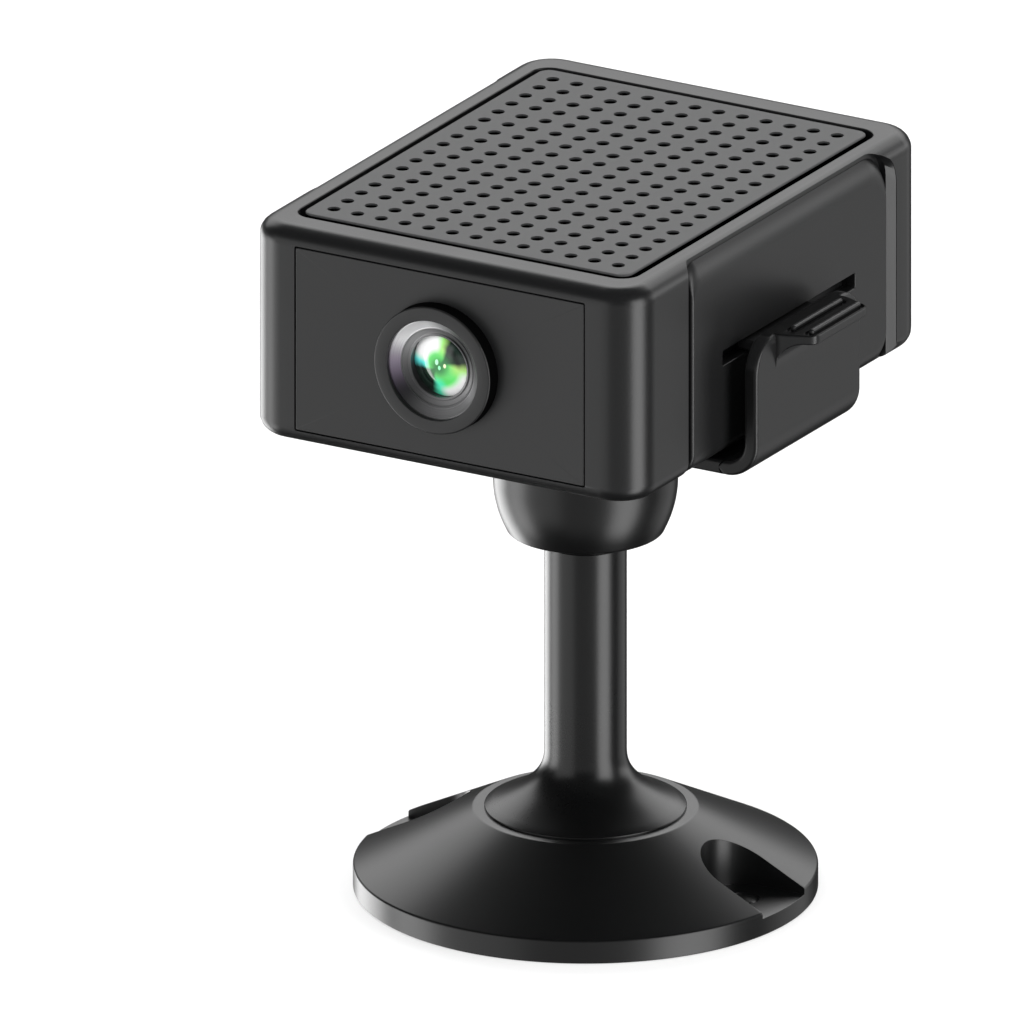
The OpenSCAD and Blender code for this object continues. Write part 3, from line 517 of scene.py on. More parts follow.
class Finish:
    """A material under construction: a Principled shader and the nodes that feed it."""

    def __init__(self, name, base, roughness, **constants):
        self.material = bpy.data.materials.new(name)
        self.material.use_nodes = True
        self.tree = self.material.node_tree
        self.shader = self.tree.nodes["Principled BSDF"]
        self.base = tuple(base)
        self.set("Base Color", (*base, 1))
        self.set("Roughness", roughness)
        for key, value in constants.items():
            self.set(key.replace("_", " "), value)
        self.place = self.add("ShaderNodeTexCoord", {}, {}, "Object")

    def add(self, kind, settings, inputs, output=0):
        """One node: its settings first, then the values or links of its sockets; gives an output."""
        made = self.tree.nodes.new(kind)
        for key, value in settings.items():
            setattr(made, key, value)
        for key, value in inputs.items():
            if isinstance(value, Value):
                self.tree.links.new(value.socket, made.inputs[key])
            else:
                made.inputs[key].default_value = value
        return Value(self.tree, made.outputs[output])

    def set(self, key, value):
        """Sets or links a socket of the shader."""
        if isinstance(value, Value):
            self.tree.links.new(value.socket, self.shader.inputs[key])
        else:
            self.shader.inputs[key].default_value = value

    def axis(self, name, offset=0):
        """The X, Y or Z coordinate in millimetres, less an offset."""
        split = self.add("ShaderNodeSeparateXYZ", {}, {0: self.place}, name)
        return split * (1 / MM) - offset

    def noise(self, size, detail=2.0, stretch=None):
        """Soft noise between 0 and 1 with features of the given size in millimetres."""
        place = self.place
        if stretch:
            place = self.add("ShaderNodeMapping", {}, {"Vector": place, "Scale": stretch})
        return self.add(
            "ShaderNodeTexNoise", {}, {"Vector": place, "Scale": 1 / (size * MM), "Detail": detail}
        )

    def mix(self, factor, first, second):
        """A colour between two colours."""
        made = self.tree.nodes.new("ShaderNodeMix")
        made.data_type = "RGBA"
        for key, value in ((0, factor), (6, first), (7, second)):
            if isinstance(value, Value):
                self.tree.links.new(value.socket, made.inputs[key])
            else:
                made.inputs[key].default_value = value if key == 0 else (*value, 1)
        return Value(self.tree, made.outputs[2])

    def tinted(self, factor, spread):
        """The base colour, darker by spread where factor is 0 and lighter where it is 1."""
        low = [c * (1 - spread) for c in self.base]
        high = [c * (1 + spread) for c in self.base]
        return self.mix(factor, low, high)

    def shade(self, factor):
        """Turns the surface to a lightless black where factor is 1: places that light hardly reaches."""
        dark = self.tree.nodes.new("ShaderNodeBsdfDiffuse")
        dark.inputs["Color"].default_value = (0, 0, 0, 1)
        blend = self.tree.nodes.new("ShaderNodeMixShader")
        self.tree.links.new(factor.socket, blend.inputs[0])
        self.tree.links.new(self.shader.outputs[0], blend.inputs[1])
        self.tree.links.new(dark.outputs[0], blend.inputs[2])
        self.tree.links.new(blend.outputs[0], self.tree.nodes["Material Output"].inputs["Surface"])

    def bump(self, height, depth):
        """Presses a height between 0 and 1 into the surface; depth is in millimetres."""
        inputs = {"Distance": depth * MM, "Height": height}
        self.set("Normal", self.add("ShaderNodeBump", {}, inputs))


def moulded(name, base, roughness, grain=0.22, depth=0.006, spread=0.07, **constants):
    """Moulded plastic: a fine grain in colour and relief, and broad cloudy changes of gloss."""
    made = Finish(name, base, roughness, **constants)
    fine = made.noise(grain, 3.0)
    broad = made.noise(14.0)
    made.set("Base Color", made.tinted((fine * 0.65 + broad * 0.35 - 0.5) * 1.6 + 0.5, spread * 2))
    made.set("Roughness", broad * 0.06 + fine * 0.06 + (roughness - 0.06))
    made.bump(fine, depth)
    return made


def grille_with_painted_shade(*settings):
    """Moulded plastic with painted shade: its holes and edges go to black just under the top of the plate,
    where shade falls.
    """
    made = moulded(*settings)
    # Painted shade: the hole walls and plate edges turn black below the top face.
    made.shade(1 - made.axis("Z", GRILLE_HI[2]).step(-0.3, -0.16))
    return made


def ring_with_painted_shade(*settings):
    """Moulded plastic with painted shade: its round outer side is black behind the front rim."""
    made = moulded(*settings)
    x, z = made.axis("X"), made.axis("Z", LENS_Z)
    radius = (x * x + z * z).math("SQRT")
    # Painted shade: the outer side behind the front rim goes mostly black.
    made.shade(made.axis("Y", RING_LO[1]).step(0.12, 0.3) * radius.step(7.1, 7.25) * 0.85)
    return made


def clip_with_painted_shade(*settings, **constants):
    """Moulded plastic with painted shade: darker on the level tops of the tabs and on the upright edges of
    the arms, where shade falls.
    """
    made = moulded(*settings, **constants)
    height = made.axis("Z", ARM_HI[2])
    level = height.step(-0.62, -0.54) * (1 - height.step(-0.46, -0.4))
    edges = abs(made.axis("Y")).step(PLATE_HI[1] - 0.2, PLATE_HI[1] - 0.05)
    # Painted shade on the level tab tops and on the upright arm edges.
    made.shade(level.math("MAXIMUM", edges * 0.75) * 0.6)
    return made


def metal(name, base, roughness, grain=0.12, stretch=None, **constants):
    """Plain worked metal: short scratches and a faint cloudy stain."""
    made = Finish(name, base, roughness, Metallic=1.0, **constants)
    scratch = made.noise(grain, 2.0, stretch)
    stain = made.noise(5.0)
    made.set("Base Color", made.tinted(stain, 0.12))
    made.set("Roughness", scratch * 0.16 + (roughness - 0.08))
    made.bump(scratch, 0.004)
    return made


def rubber(name, base, roughness=0.75):
    """Soft matt rubber with a coarse grain."""
    made = Finish(name, base, roughness)
    grain = made.noise(0.35, 4.0)
    made.set("Base Color", made.tinted(grain, 0.2))
    made.set("Roughness", grain * 0.12 + (roughness - 0.06))
    made.bump(grain, 0.02)
    return made


def board_finish(name, base):
    """Circuit board: solder mask with copper runs showing through as lighter lines, and tinned dots."""
    made = Finish(name, base, 0.32)
    runs = abs(((made.axis("X") + made.axis("Z") * 0.7) * 0.9 + made.noise(6.0) * 3).math("SINE"))
    dots = made.add("ShaderNodeTexVoronoi", {}, {"Vector": made.place, "Scale": 1 / (1.6 * MM)})
    track = runs.step(0.75, 0.85) * 0.6
    tinned = 1 - dots.step(0.16, 0.2)
    lines = made.mix(track, made.base, [c * 2.2 + 0.01 for c in made.base])
    made.set("Base Color", made.mix(tinned, lines, (0.55, 0.56, 0.55)))
    made.set("Roughness", 0.42 - track * 0.15)
    made.bump(track, 0.02)
    return made


def film(name, base, roughness, size=1.2):
    """Smooth film or glass: clean colour with a slow change of tone, under a clear gloss."""
    made = Finish(name, base, roughness, Coat_Weight=0.6, Coat_Roughness=0.08)
    cloud = made.noise(size)
    made.set("Base Color", made.tinted(cloud, 0.1))
    made.bump(made.noise(size * 3), 0.01)
    return made


def woven(name, base, thread=0.12):
    """Woven dust mesh: two sets of threads crossing at right angles."""
    made = Finish(name, base, 0.9, Specular_IOR_Level=0.05)
    turns = 2 * math.pi / thread
    warp = (made.axis("X") * turns).math("SINE")
    weft = (made.axis("Y") * turns).math("SINE")
    thread_up = (warp * weft) * 0.5 + 0.5
    made.set("Base Color", made.tinted(thread_up, 0.4))
    made.bump(thread_up, 0.02)
    return made


def turned_metal_with_painted_sheen():
    """Barrel face: dark turned metal with painted sheen: its fine rings carry painted highlights in two
    opposite sectors, bright at the upper left, softer at the lower right, with a painted violet reflection
    tint on the left and black between them."""
    made = Finish("Turned barrel with painted sheen", (0.2, 0.2, 0.21), 0.3, Metallic=0.55)
    x = made.axis("X")
    z = made.axis("Z", LENS_Z)
    radius = (x * x + z * z).math("SQRT")
    turn = z.math("ARCTAN2", x)
    rings = made.add(
        "ShaderNodeTexNoise",
        {"noise_dimensions": "1D"},
        {"W": radius * 9 + turn * 0.05, "Scale": 1.0, "Detail": 3.0},
    )
    # Painted highlights: bright sectors at the upper left and lower right, and a faint painted sheen
    # further in.
    upper = (turn - math.radians(126)).math("COSINE").clamped() ** 3.4
    lower = (turn + math.radians(52)).math("COSINE").clamped() ** 1.6
    left = (turn - math.radians(180)).math("COSINE").clamped() ** 12
    outer_band = radius.step(4.5, 4.7)
    painted_sheen = (upper * (outer_band * 1.0 + 0.3) + lower * 0.16) * (rings * 0.7 + 0.65)
    second = (turn - math.radians(150)).math("COSINE").clamped() * (1 - outer_band)
    painted_sheen = painted_sheen + second * 0.07 + 0.015
    tone = made.mix(painted_sheen.clamped(), (0.002, 0.002, 0.003), (0.95, 0.95, 0.96))
    # Painted violet reflection tint on the left of the outer band.
    tone = made.mix(left * outer_band * 0.5, tone, (0.24, 0.18, 0.28))
    made.set("Base Color", tone)
    made.set("Roughness", rings * 0.15 + 0.25)
    made.bump(rings, 0.01)
    return made


def glass_with_painted_reflections():
    """Front glass: the reflections of a many-layer coating are painted as two bright lobes, upper left and
    lower right.
    Each is white at the rim and green towards the middle, cyan on its left flank and yellow-green on its
    right.
    Between them lies dark glass with fine rings and a few small painted inner glints."""
    made = Finish("Coated glass with painted reflections", (0.01, 0.02, 0.015), 0.06, Coat_Weight=1.0, Coat_Roughness=0.02)
    x = made.axis("X")
    z = made.axis("Z", LENS_Z)
    radius = (x * x + z * z).math("SQRT")
    turn = z.math("ARCTAN2", x)
    # Painted reflections of the coating: two lobes set by the angle round the lens.
    upper = (turn - math.radians(131)).math("COSINE")
    flank = (turn - math.radians(131)).math("SINE")
    swirl = (radius * 7.5).math("SINE") * 0.06
    near = 1 - radius.step(0.5, 2.6)
    upper_painted_reflection = (upper + swirl * 0.15 + near * 0.3).step(0.42, 0.75) * radius.step(0.2, 1.2)
    lower_painted_reflection = (upper * -1 + swirl * 0.15 + near * 0.3).step(0.42, 0.78) * radius.step(0.2, 1.5)
    green = made.mix((radius / 2.6).clamped(), (0.02, 0.3, 0.04), (0.16, 0.95, 0.2))
    away = radius.step(1.0, 2.3)
    upper_tone = made.mix(flank.step(-0.3, -0.95) * away, green, (0.5, 0.9, 0.22))
    upper_tone = made.mix(flank.step(0.35, 0.75) * away, upper_tone, (0.12, 0.9, 0.85))
    upper_tone = made.mix(radius.step(1.3, 2.3) * upper.step(0.66, 0.9), upper_tone, (1.0, 1.0, 1.0))
    lower_tone = made.mix(flank.step(-0.2, -0.95) * away, green, (0.6, 0.9, 0.25))
    lower_tone = made.mix(flank.step(0.2, 0.7) * away, lower_tone, (0.1, 0.9, 0.55))
    rim_low = radius.step(2.1, 3.1) * (upper * -1).step(0.68, 0.93)
    lower_tone = made.mix(rim_low, lower_tone, (1.0, 1.0, 1.0))
    rings = (swirl + radius.step(0.6, 3.4) * 0.1).clamped()
    dark = made.mix(rings, (0.002, 0.008, 0.005), (0.1, 0.16, 0.13))
    dark = made.mix((1 - radius.step(0.5, 2.2)) * 0.75, dark, (0.015, 0.24, 0.05))
    tone = made.mix(upper_painted_reflection, dark, upper_tone)
    tone = made.mix(lower_painted_reflection, tone, lower_tone)
    # Painted glints inside the glass.
    for spot_x, spot_z, size, glint in (
        (-0.25, 0.5, 0.26, (0.45, 1.0, 0.6)),
        (0.1, -0.12, 0.2, (0.3, 1.0, 0.5)),
        (0.75, 0.2, 0.2, (0.9, 1.0, 0.6)),
    ):
        across = (x - spot_x) / size
        along = (z - spot_z) / (size * 1.5)
        mask = 1 - (across * across + along * along).step(0.35, 1.0)
        tone = made.mix(mask, tone, glint)
    made.set("Base Color", tone)
    made.bump(made.noise(3.0), 0.002)
    return made


def finishes():
    """Every finish of the object, by the name of its material slot."""
    group = bpy.context.scene.camera_finishes
    depth = 0.012 * group.grain
    return {
        "body_plastic": moulded("Body plastic", group.body, 0.32, depth=depth),
        "panel_plastic": moulded("Side panel plastic", group.panel, 0.38, depth=depth),
        "front_plastic": moulded("Front panel plastic", group.front, 0.4, 0.3, depth * 0.4, 0.03),
        "grille_plastic": grille_with_painted_shade("Grille plastic", group.grille, 0.5, 0.16, depth * 1.2, 0.12),
        "ring_plastic": ring_with_painted_shade("Ring plastic", group.front, 0.42, 0.2, depth * 0.5, 0.04),
        "stand_plastic": moulded("Stand plastic", group.stand, 0.31, depth=depth * 0.6),
        "stand_metal": moulded("Painted stem", group.stand, 0.29, 0.3, depth * 0.4, 0.05),
        "clip_plastic": clip_with_painted_shade("Cradle plastic", group.clip, 0.36, depth=depth),
        "button_plastic": moulded("Button plastic", (0.03, 0.03, 0.032), 0.35),
        "card_plastic": moulded("Card plastic", (0.025, 0.025, 0.027), 0.45),
        "inner_black": moulded("Inner black", (0.012, 0.012, 0.012), 0.6),
        "chip_black": moulded("Chip package", (0.02, 0.021, 0.023), 0.5, 0.1),
        "seat_plastic": moulded("Natural acetal", (0.6, 0.59, 0.54), 0.4, spread=0.03),
        "band_plastic": moulded("Friction band", (0.05, 0.05, 0.053), 0.5),
        "light_plastic": film("Light pipe", (0.78, 0.8, 0.82), 0.2),
        "sole_rubber": rubber("Sole rubber", group.rubber),
        "thermal_gel": rubber("Thermal sheet", (0.25, 0.33, 0.38), 0.6),
        "lead_red": rubber("Wire insulation", (0.45, 0.04, 0.03), 0.5),
        "mesh_fabric": woven("Dust mesh", (0.0015, 0.0015, 0.0015)),
        "barrel_metal": turned_metal_with_painted_sheen(),
        "lens_glass": glass_with_painted_reflections(),
        "filter_glass": film("Infrared filter", (0.4, 0.12, 0.16), 0.1),
        "steel": metal("Steel", (0.5, 0.5, 0.51), 0.32),
        "weight_iron": metal("Cast ring", (0.25, 0.25, 0.255), 0.55, 0.6),
        "sink_aluminium": metal("Extruded fins", (0.62, 0.63, 0.65), 0.35, 0.3, (1, 0.1, 1)),
        "module_can": metal("Tinned can", (0.6, 0.6, 0.6), 0.3),
        "antenna_copper": metal("Copper strip", (0.7, 0.36, 0.16), 0.35),
        "socket_steel": metal("Plated shell", (0.55, 0.55, 0.56), 0.25),
        "circuit_board": board_finish("Circuit board", (0.012, 0.12, 0.04)),
        "battery_film": film("Battery sleeve", (0.03, 0.09, 0.3), 0.3, 6.0),
        "flex_film": film("Flat cable", (0.55, 0.28, 0.06), 0.3),
    }


MADE = {}


def finish(slot_name):
    """The finish of a material slot; all are made together at the first call."""
    if not MADE:
        MADE.update(finishes())
    return MADE[slot_name].material


# ---- The pieces ----


# Radius and bore of the screw bosses, of the sensor board's posts and of the main board's standoffs
BOSS = (2.4, 0.95)
POST = (2, 0.8)
STANDOFF = (1.8, 0.8)
BOSS_IN = 2.1
POST_X = 11.5
# Windows behind the front panel: infrared lights and light sensor, as distance from the lens and radius
LED_X, LED_UP, LED_R = 13, 5.6, 1.6
SENSOR_X, SENSOR_R = 15.6, 1.2
SPEAKER_R = 8.1


class CAMERA_OT_housing(bpy.types.Operator):
    """Build the body shell with its recesses, openings, bosses and posts"""

    bl_idname = "security_camera.housing"
    bl_label = "Body shell"

    def execute(self, context):
        s = sizes("camera_body")
        outer = self.outside(s)
        piece = new_piece("housing", outer)
        ceiling = MESH_LO[2] - s.top_wall
        inner = np.array([BODY_HI[0] - s.wall, REAR - s.end_wall])
        room = soft_block((-inner[0], -inner[1], BODY_LO[2] - 1), (inner[0], inner[1], ceiling), 0.6, 0)
        cut(piece, room)
        grown(piece, *self.posts(s, ceiling))
        self.cut_sides(piece, s)
        self.cut_ends(piece, s)
        cut(piece, *self.bores(s))
        bevelled(piece, s.lip, 50)
        dress(piece, "camera", "body_plastic", "housing", sharp=50)
        return {"FINISHED"}

    def outside(self, s):
        """Rounded rectangles whose inset follows a quarter circle at the lower and at the upper edge, then
        across the flat top to the rim of the grille recess and down its wall to its floor."""
        low, top = BODY_LO[2], BODY_HI[2]
        turn = quarter(2 * EDGE_STEPS)
        inset = s.edge * np.concatenate([1 - np.sin(turn), 1 - np.cos(turn)])
        height = np.concatenate([low + s.edge * (1 - np.cos(turn)), top - s.edge * (1 - np.sin(turn))])
        outlines = [
            frame_ring(BODY_LO[0] + i, FRONT + i, BODY_HI[0] - i, REAR - i, s.corner - i) for i in inset
        ]
        lip = quarter()
        recess = GRILLE_HI[:2] + s.recess_gap
        for g in s.lip * (1 - np.sin(lip)):
            x, y = recess + g
            outlines.append(frame_ring(-x, -y, x, y, s.recess_corner + g))
        outlines.append(frame_ring(-recess[0], -recess[1], recess[0], recess[1], s.recess_corner))
        height = [*height, *(top - s.lip * (1 - np.cos(lip))), MESH_LO[2]]
        return loft(stack(outlines, height))

    def bosses(self, s):
        """Where the cover screws go."""
        return around_corners(BODY_HI[0] - s.wall - BOSS_IN, REAR - s.end_wall - BOSS_IN)

    def standoffs(self):
        """Where the main board is held."""
        return [(a * 16.5, y) for a in SIDES for y in (BOARD_LO[1] + 2.6, BOARD_HI[1] - 10)]

    def posts(self, s, ceiling):
        """Round bosses for the cover screws, posts for the sensor board, standoffs for the main board."""
        shapes = [rod(BOSS[0], COVER_HI[2], ceiling + 0.2, at, steps=32) for at in self.bosses(s)]
        for a in SIDES:
            start = FRONT + s.end_wall - 0.5
            shapes.append(rod(POST[0], start, SENSOR_LO[1], (a * POST_X, LENS_Z), "Y", steps=32))
        for at in self.standoffs():
            shapes.append(rod(STANDOFF[0], BOARD_HI[2], ceiling + 0.2, at, steps=32))
        return shapes

    def bores(self, s):
        """Screw bores in the bosses, posts and standoffs."""
        low, board, sensor = COVER_HI[2], BOARD_HI[2], SENSOR_LO[1]
        shapes = [rod(BOSS[1], low - 1, low + 7, at, steps=24) for at in self.bosses(s)]
        for a in SIDES:
            shapes.append(rod(POST[1], sensor - 6, sensor + 1, (a * POST_X, LENS_Z), "Y", steps=24))
        for at in self.standoffs():
            shapes.append(rod(STANDOFF[1], board - 1, board + 4, at, steps=24))
        return shapes

    def cut_sides(self, piece, s):
        """Recesses for the side panels, open at the bottom, and the clip slots behind them."""
        front, rear = SIDE_LO[1] - s.side_groove, SIDE_HI[1] + s.side_gap
        back = SIDE_LO[0] - 0.05
        tight = SIDE_HI[1] + 0.3
        low, high = BODY_LO[2] - 1, BODY_HI[2] - 0.12
        inner = frame_ring(front, low, tight, high, [0.1, 0.1, 3.5, 2])
        outer = frame_ring(front, low, rear, high, [0.1, 0.1, 4.6, 2])
        edge = BODY_HI[0] - s.side_inset
        depth = [back, edge - 0.4, edge + 0.22, BODY_HI[0] + 2]
        recess = loft(stack([inner, inner, outer, outer], depth, "X"))
        low = BODY_LO[2] + s.slot_up
        slot = soft_block(
            (-s.slot_front, low, back - 0.55), (s.slot_rear, low + s.slot_open, back + 1), 0.2, 0, "X"
        )
        cut(piece, recess, mirrored(recess))
        cut(piece, slot, mirrored(slot))

    def cut_ends(self, piece, s):
        """Seat of the front panel and the openings behind it; the openings in the rear wall and the top."""
        gap = 0.16
        seat = soft_block(
            (PANEL_LO[0] - gap, PANEL_LO[2] - gap, FRONT - 2),
            (PANEL_HI[0] + gap, PANEL_HI[2] + gap, PANEL_HI[1]),
            0.25,
            0,
            "Y",
        )
        cut(piece, seat)
        inside = FRONT + s.end_wall + 1
        openings = [rod(RING_HI[0] + gap, FRONT + 0.5, inside, LENS, "Y", steps=64)]
        for x, up in around_corners(LED_X, LED_UP):
            openings.append(rod(LED_R, FRONT + 0.5, inside, (x, LENS_Z + up), "Y", steps=24))
        openings.append(rod(SENSOR_R, FRONT + 0.5, inside, (SENSOR_X, LENS_Z), "Y", steps=24))
        cut(piece, *openings)
        start, end = REAR - s.end_wall - 1, REAR + 3
        sockets = [
            soft_block((lo[0] - g, lo[2] - g, start), (hi[0] + g, hi[2] + g, end), corner, 0, "Y")
            for lo, hi, g, corner in ((USB_LO, USB_HI, 0.2, 1.78), (CARD_LO, CARD_HI, 0.4, 0.4))
        ]
        holes = [
            rod(radius, start, end, middle_of(lo, hi), "Y", steps=steps)
            for lo, hi, radius, steps in (
                (BUTTON_LO, BUTTON_HI, 2.3, 48), (RESET_LO, RESET_HI, 0.6, 32), (PIPE_LO, PIPE_HI, 1.05, 32)
            )
        ]
        speaker = (0, middle_of(SPEAKER_LO, SPEAKER_HI, "Z")[1])
        sound = rod(SPEAKER_R, MESH_LO[2] - 3, MESH_LO[2] + 0.5, speaker, steps=64)
        cut(piece, *sockets, *holes, sound)


class CAMERA_OT_side_panels(bpy.types.Operator):
    """Build the two side panels with their long clip slots"""

    bl_idname = "security_camera.side_panels"
    bl_label = "Side panels"

    def execute(self, context):
        s = sizes("camera_body")
        shape = self.panel(s)
        for name, body_side in (("side_panel_right", shape), ("side_panel_left", mirrored(shape))):
            piece = new_piece(name, body_side)
            dress(piece, "camera", "panel_plastic", name)
        return {"FINISHED"}

    def panel(self, s):
        """A ring-shaped loft: from the back outline to the face, where the upper edge follows a wide arc,
        the lower edge the body's own edge radius and the front and rear edges a small quarter circle,
        across the face to the slot, over its rim and down its wall to the back again."""
        face, back = SIDE_HI[0], SIDE_LO[0]
        wide_x, low_x = face - s.shoulder, face - s.edge
        turn = np.linspace(math.acos((back - wide_x) / s.shoulder), 0, 15)
        depth = wide_x + s.shoulder * np.cos(turn)
        rise = s.shoulder * np.sin(turn)
        upper = SIDE_HI[2] - rise[0] + rise
        lower = BODY_LO[2] + s.edge - np.sqrt(s.edge**2 - (depth - low_x) ** 2)
        small = 0.4
        near = np.clip((depth - (face - small)) / small, 0, 1)
        inset = small * (1 - np.sqrt(1 - near**2))
        radii = np.array([0.6, 2, 3.4, 1.8])
        outlines = [
            frame_ring(SIDE_LO[1] + i, low, SIDE_HI[1] - i, up, radii)
            for i, low, up in zip(inset, lower, upper)
        ]
        low = BODY_LO[2] + s.slot_up
        lip = quarter()
        for g in [*(s.lip * (1 - np.sin(lip))), 0]:
            up = low + s.slot_open + g
            outlines.append(frame_ring(-s.slot_front - g, low - g, s.slot_rear + g, up, 0.25 + g))
        height = [*depth, *(face - s.lip * (1 - np.cos(lip))), back]
        return loft(stack(outlines, height, "X"), joined=True)


class CAMERA_OT_top_grille(bpy.types.Operator):
    """Build the perforated plate in the top"""

    bl_idname = "security_camera.top_grille"
    bl_label = "Top grille"

    def execute(self, context):
        s = sizes("camera_body")
        border, rim = 3.4, 0.2
        room = 2 * (GRILLE_HI[:2] + s.recess_gap - border)
        count = np.floor(room / s.pitch).astype(int) + 1
        cells = self.cells(s, count)
        margin = self.margin(s, count, rim)
        piece = new_piece("top_grille", cells, margin)
        dress(piece, "camera", "grille_plastic", "top_grille")
        return {"FINISHED"}

    def cells(self, s, count):
        """Square cells, each with a round hole: the square and the circle have sixteen points in the same
        directions, and the surface runs from the square to the hole, down the hole and back out below."""
        turn = np.arange(16) * np.pi / 8
        way = np.stack([np.cos(turn), np.sin(turn)], axis=1)
        square = s.pitch / 2 * way / np.max(np.abs(way), axis=1)[:, None]
        hole = s.hole / 2 * way
        grid = [(np.arange(n) - (n - 1) / 2) * s.pitch for n in count]
        centres = np.stack(np.meshgrid(*grid, indexing="ij"), axis=-1).reshape(-1, 1, 2)
        top, low = GRILLE_HI[2], GRILLE_LO[2]
        points, faces, first = [], [], 0
        rings = [(square, top), (hole, top), (hole, low), (square, low)]
        flat = np.stack([centres + outline for outline, _ in rings], axis=1)
        height = np.array([z for _, z in rings])[None, :, None]
        grid_points = placed(flat[..., 0], flat[..., 1], height, "Z")
        for cell in grid_points:
            at, polygons = loft(cell, capped=False)
            points.append(at)
            faces += [[first + k for k in polygon] for polygon in polygons]
            first += len(at)
        return np.concatenate(points), faces

    def margin(self, s, count, rim):
        """The plain border: a band from the edge of the cells to the plate's rounded outline, over its rim
        and back below; its points lie opposite the points of the cells."""
        part = np.array([-1, -math.tan(math.pi / 8), 0, math.tan(math.pi / 8)]) * s.pitch / 2
        runs = []
        for n in count:
            centre = (np.arange(n) - (n - 1) / 2) * s.pitch
            runs.append((centre[:, None] + part).ravel()[1:])
        half = count * s.pitch / 2
        edge = GRILLE_HI[:2]
        radius = s.recess_corner - s.recess_gap

        def around(reach, round_off):
            straight = reach - max(round_off, 1e-9)
            turn = np.linspace(0, 90, 7)
            line = []
            for k in range(4):
                a = np.radians(turn + 180 + 90 * k)
                sign = np.sign(np.array([np.cos(a[3]), np.sin(a[3])]))
                line.append(straight * sign + round_off * np.stack([np.cos(a), np.sin(a)], axis=1))
                along = runs[k % 2] * straight[k % 2] / half[k % 2] * (1 if k < 2 else -1)
                fixed = np.full_like(along, reach[1 - k % 2] * (-1 if k in (0, 3) else 1))
                line.append(np.stack([along, fixed] if k % 2 == 0 else [fixed, along], axis=1))
            return np.concatenate(line)

        turn = np.radians(np.linspace(0, 90, 4))
        outlines = [around(half, 0.0)]
        outlines += [around(edge - g, radius - g) for g in rim * (1 - np.sin(turn))]
        outlines += [around(edge, radius), around(half, 0.0)]
        top, low = GRILLE_HI[2], GRILLE_LO[2]
        height = [top, *(top - rim * (1 - np.cos(turn))), low, low]
        return loft(stack(outlines, height), capped=False)


class CAMERA_OT_front_panel(bpy.types.Operator):
    """Build the flush panel round the lens"""

    bl_idname = "security_camera.front_panel"
    bl_label = "Front panel"

    def execute(self, context):
        """A ring-shaped loft from the back of the rectangle over its small rim to the face, to the round
        opening for the lens ring and back."""
        rim, corner, sides = 0.1, 0.2, (24, 24)
        lo, hi = PANEL_LO, PANEL_HI
        opening = RING_HI[0] - 1

        def outline(i):
            return frame_ring(lo[0] + i, lo[2] + i, hi[0] - i, hi[2] - i, corner - i, sides)

        turn = quarter()
        outlines = [outline(0)] + [outline(i) for i in rim * (1 - np.cos(turn))]
        away = outline(rim) - np.array(LENS)
        away /= np.linalg.norm(away, axis=1)[:, None]
        outlines += [np.array(LENS) + away * opening] * 2
        depth = [hi[1], *(lo[1] + rim * (1 - np.sin(turn))), lo[1], hi[1]]
        piece = new_piece("front_panel", loft(stack(outlines, depth, "Y"), joined=True))
        dress(piece, "camera", "front_plastic", "front_panel")
        return {"FINISHED"}


# Lens ring: how much narrower it is than its flange, the depth of its lip, the play round the barrel
RING_STEP = 1.05
RING_LIP = 0.6
BARREL_PLAY = 0.05
# Barrel: the radius of its mouth; the lip that holds the glass, as distance out from the glass, depth and
# rounding; then the two bands of the open cone, as radius, depth and rounding
BARREL_MOUTH = 5.62
SEAT_DEEP = 1.1
GLASS_SEAT = ((-0.14, SEAT_DEEP, 0.04), (-0.14, 0.92, 0.06), (0.12, 0.82, 0.06), (0.2, 0.98, 0.05))
BARREL_CONE = ((4.45, 0.72, 0.06), (4.52, 0.5, 0.05), (4.66, 0.58, 0.05), (5.5, 0.08, 0.04))


class CAMERA_OT_lens(bpy.types.Operator):
    """Build the lens ring, the stepped barrel and the coated front glass"""

    bl_idname = "security_camera.lens"
    bl_label = "Lens"

    def execute(self, context):
        s = sizes("camera_lens")
        face, back, seat = RING_LO[1], RING_HI[1], PANEL_HI[1]
        flange = RING_HI[0]
        ring = flange - RING_STEP
        inside = BARREL_HI[0] + BARREL_PLAY
        profile = rounded([
            (s.mouth, face, 0.1),
            (ring, face, s.ring_edge),
            (ring, seat, 0.05),
            (flange, seat, 0.1),
            (flange, back, 0.1),
            (inside, back, 0.1),
            (inside, face + RING_LIP, 0.05),
            (s.mouth, face + RING_LIP, 0.1),
        ])
        piece = new_piece("lens_ring", turned(profile, LENS, "Y", joined=True))
        dress(piece, "camera", "ring_plastic", "lens_ring")

        start, end = BARREL_LO[1], BARREL_HI[1]
        bore = s.glass + BARREL_PLAY
        steps = [(s.glass + out, start + deep, edge) for out, deep, edge in GLASS_SEAT]
        cone = [(radius, start + deep, edge) for radius, deep, edge in BARREL_CONE]
        outer = [
            (BARREL_MOUTH, start, 0.03),
            (BARREL_HI[0], start, 0.05),
            (BARREL_HI[0], end, 0.2),
            (bore, end, 0.1),
            (bore, start + SEAT_DEEP, 0.02),
        ]
        profile = rounded([*outer, *steps, *cone], 4)
        piece = new_piece("lens_barrel", turned(profile, LENS, "Y", joined=True))
        dress(piece, "camera", "barrel_metal", "lens_barrel", sharp=30)

        front = GLASS_LO[1]
        tilt = math.degrees(math.asin(s.glass / s.dome))
        dome = arc((0, front + s.dome), s.dome, -90, -90 + tilt, 24)
        profile = np.concatenate([dome, [(s.glass, GLASS_HI[1]), (0, GLASS_HI[1])]])
        piece = new_piece("front_lens", turned(profile, LENS, "Y"))
        dress(piece, "camera", "lens_glass", "front_lens")
        return {"FINISHED"}


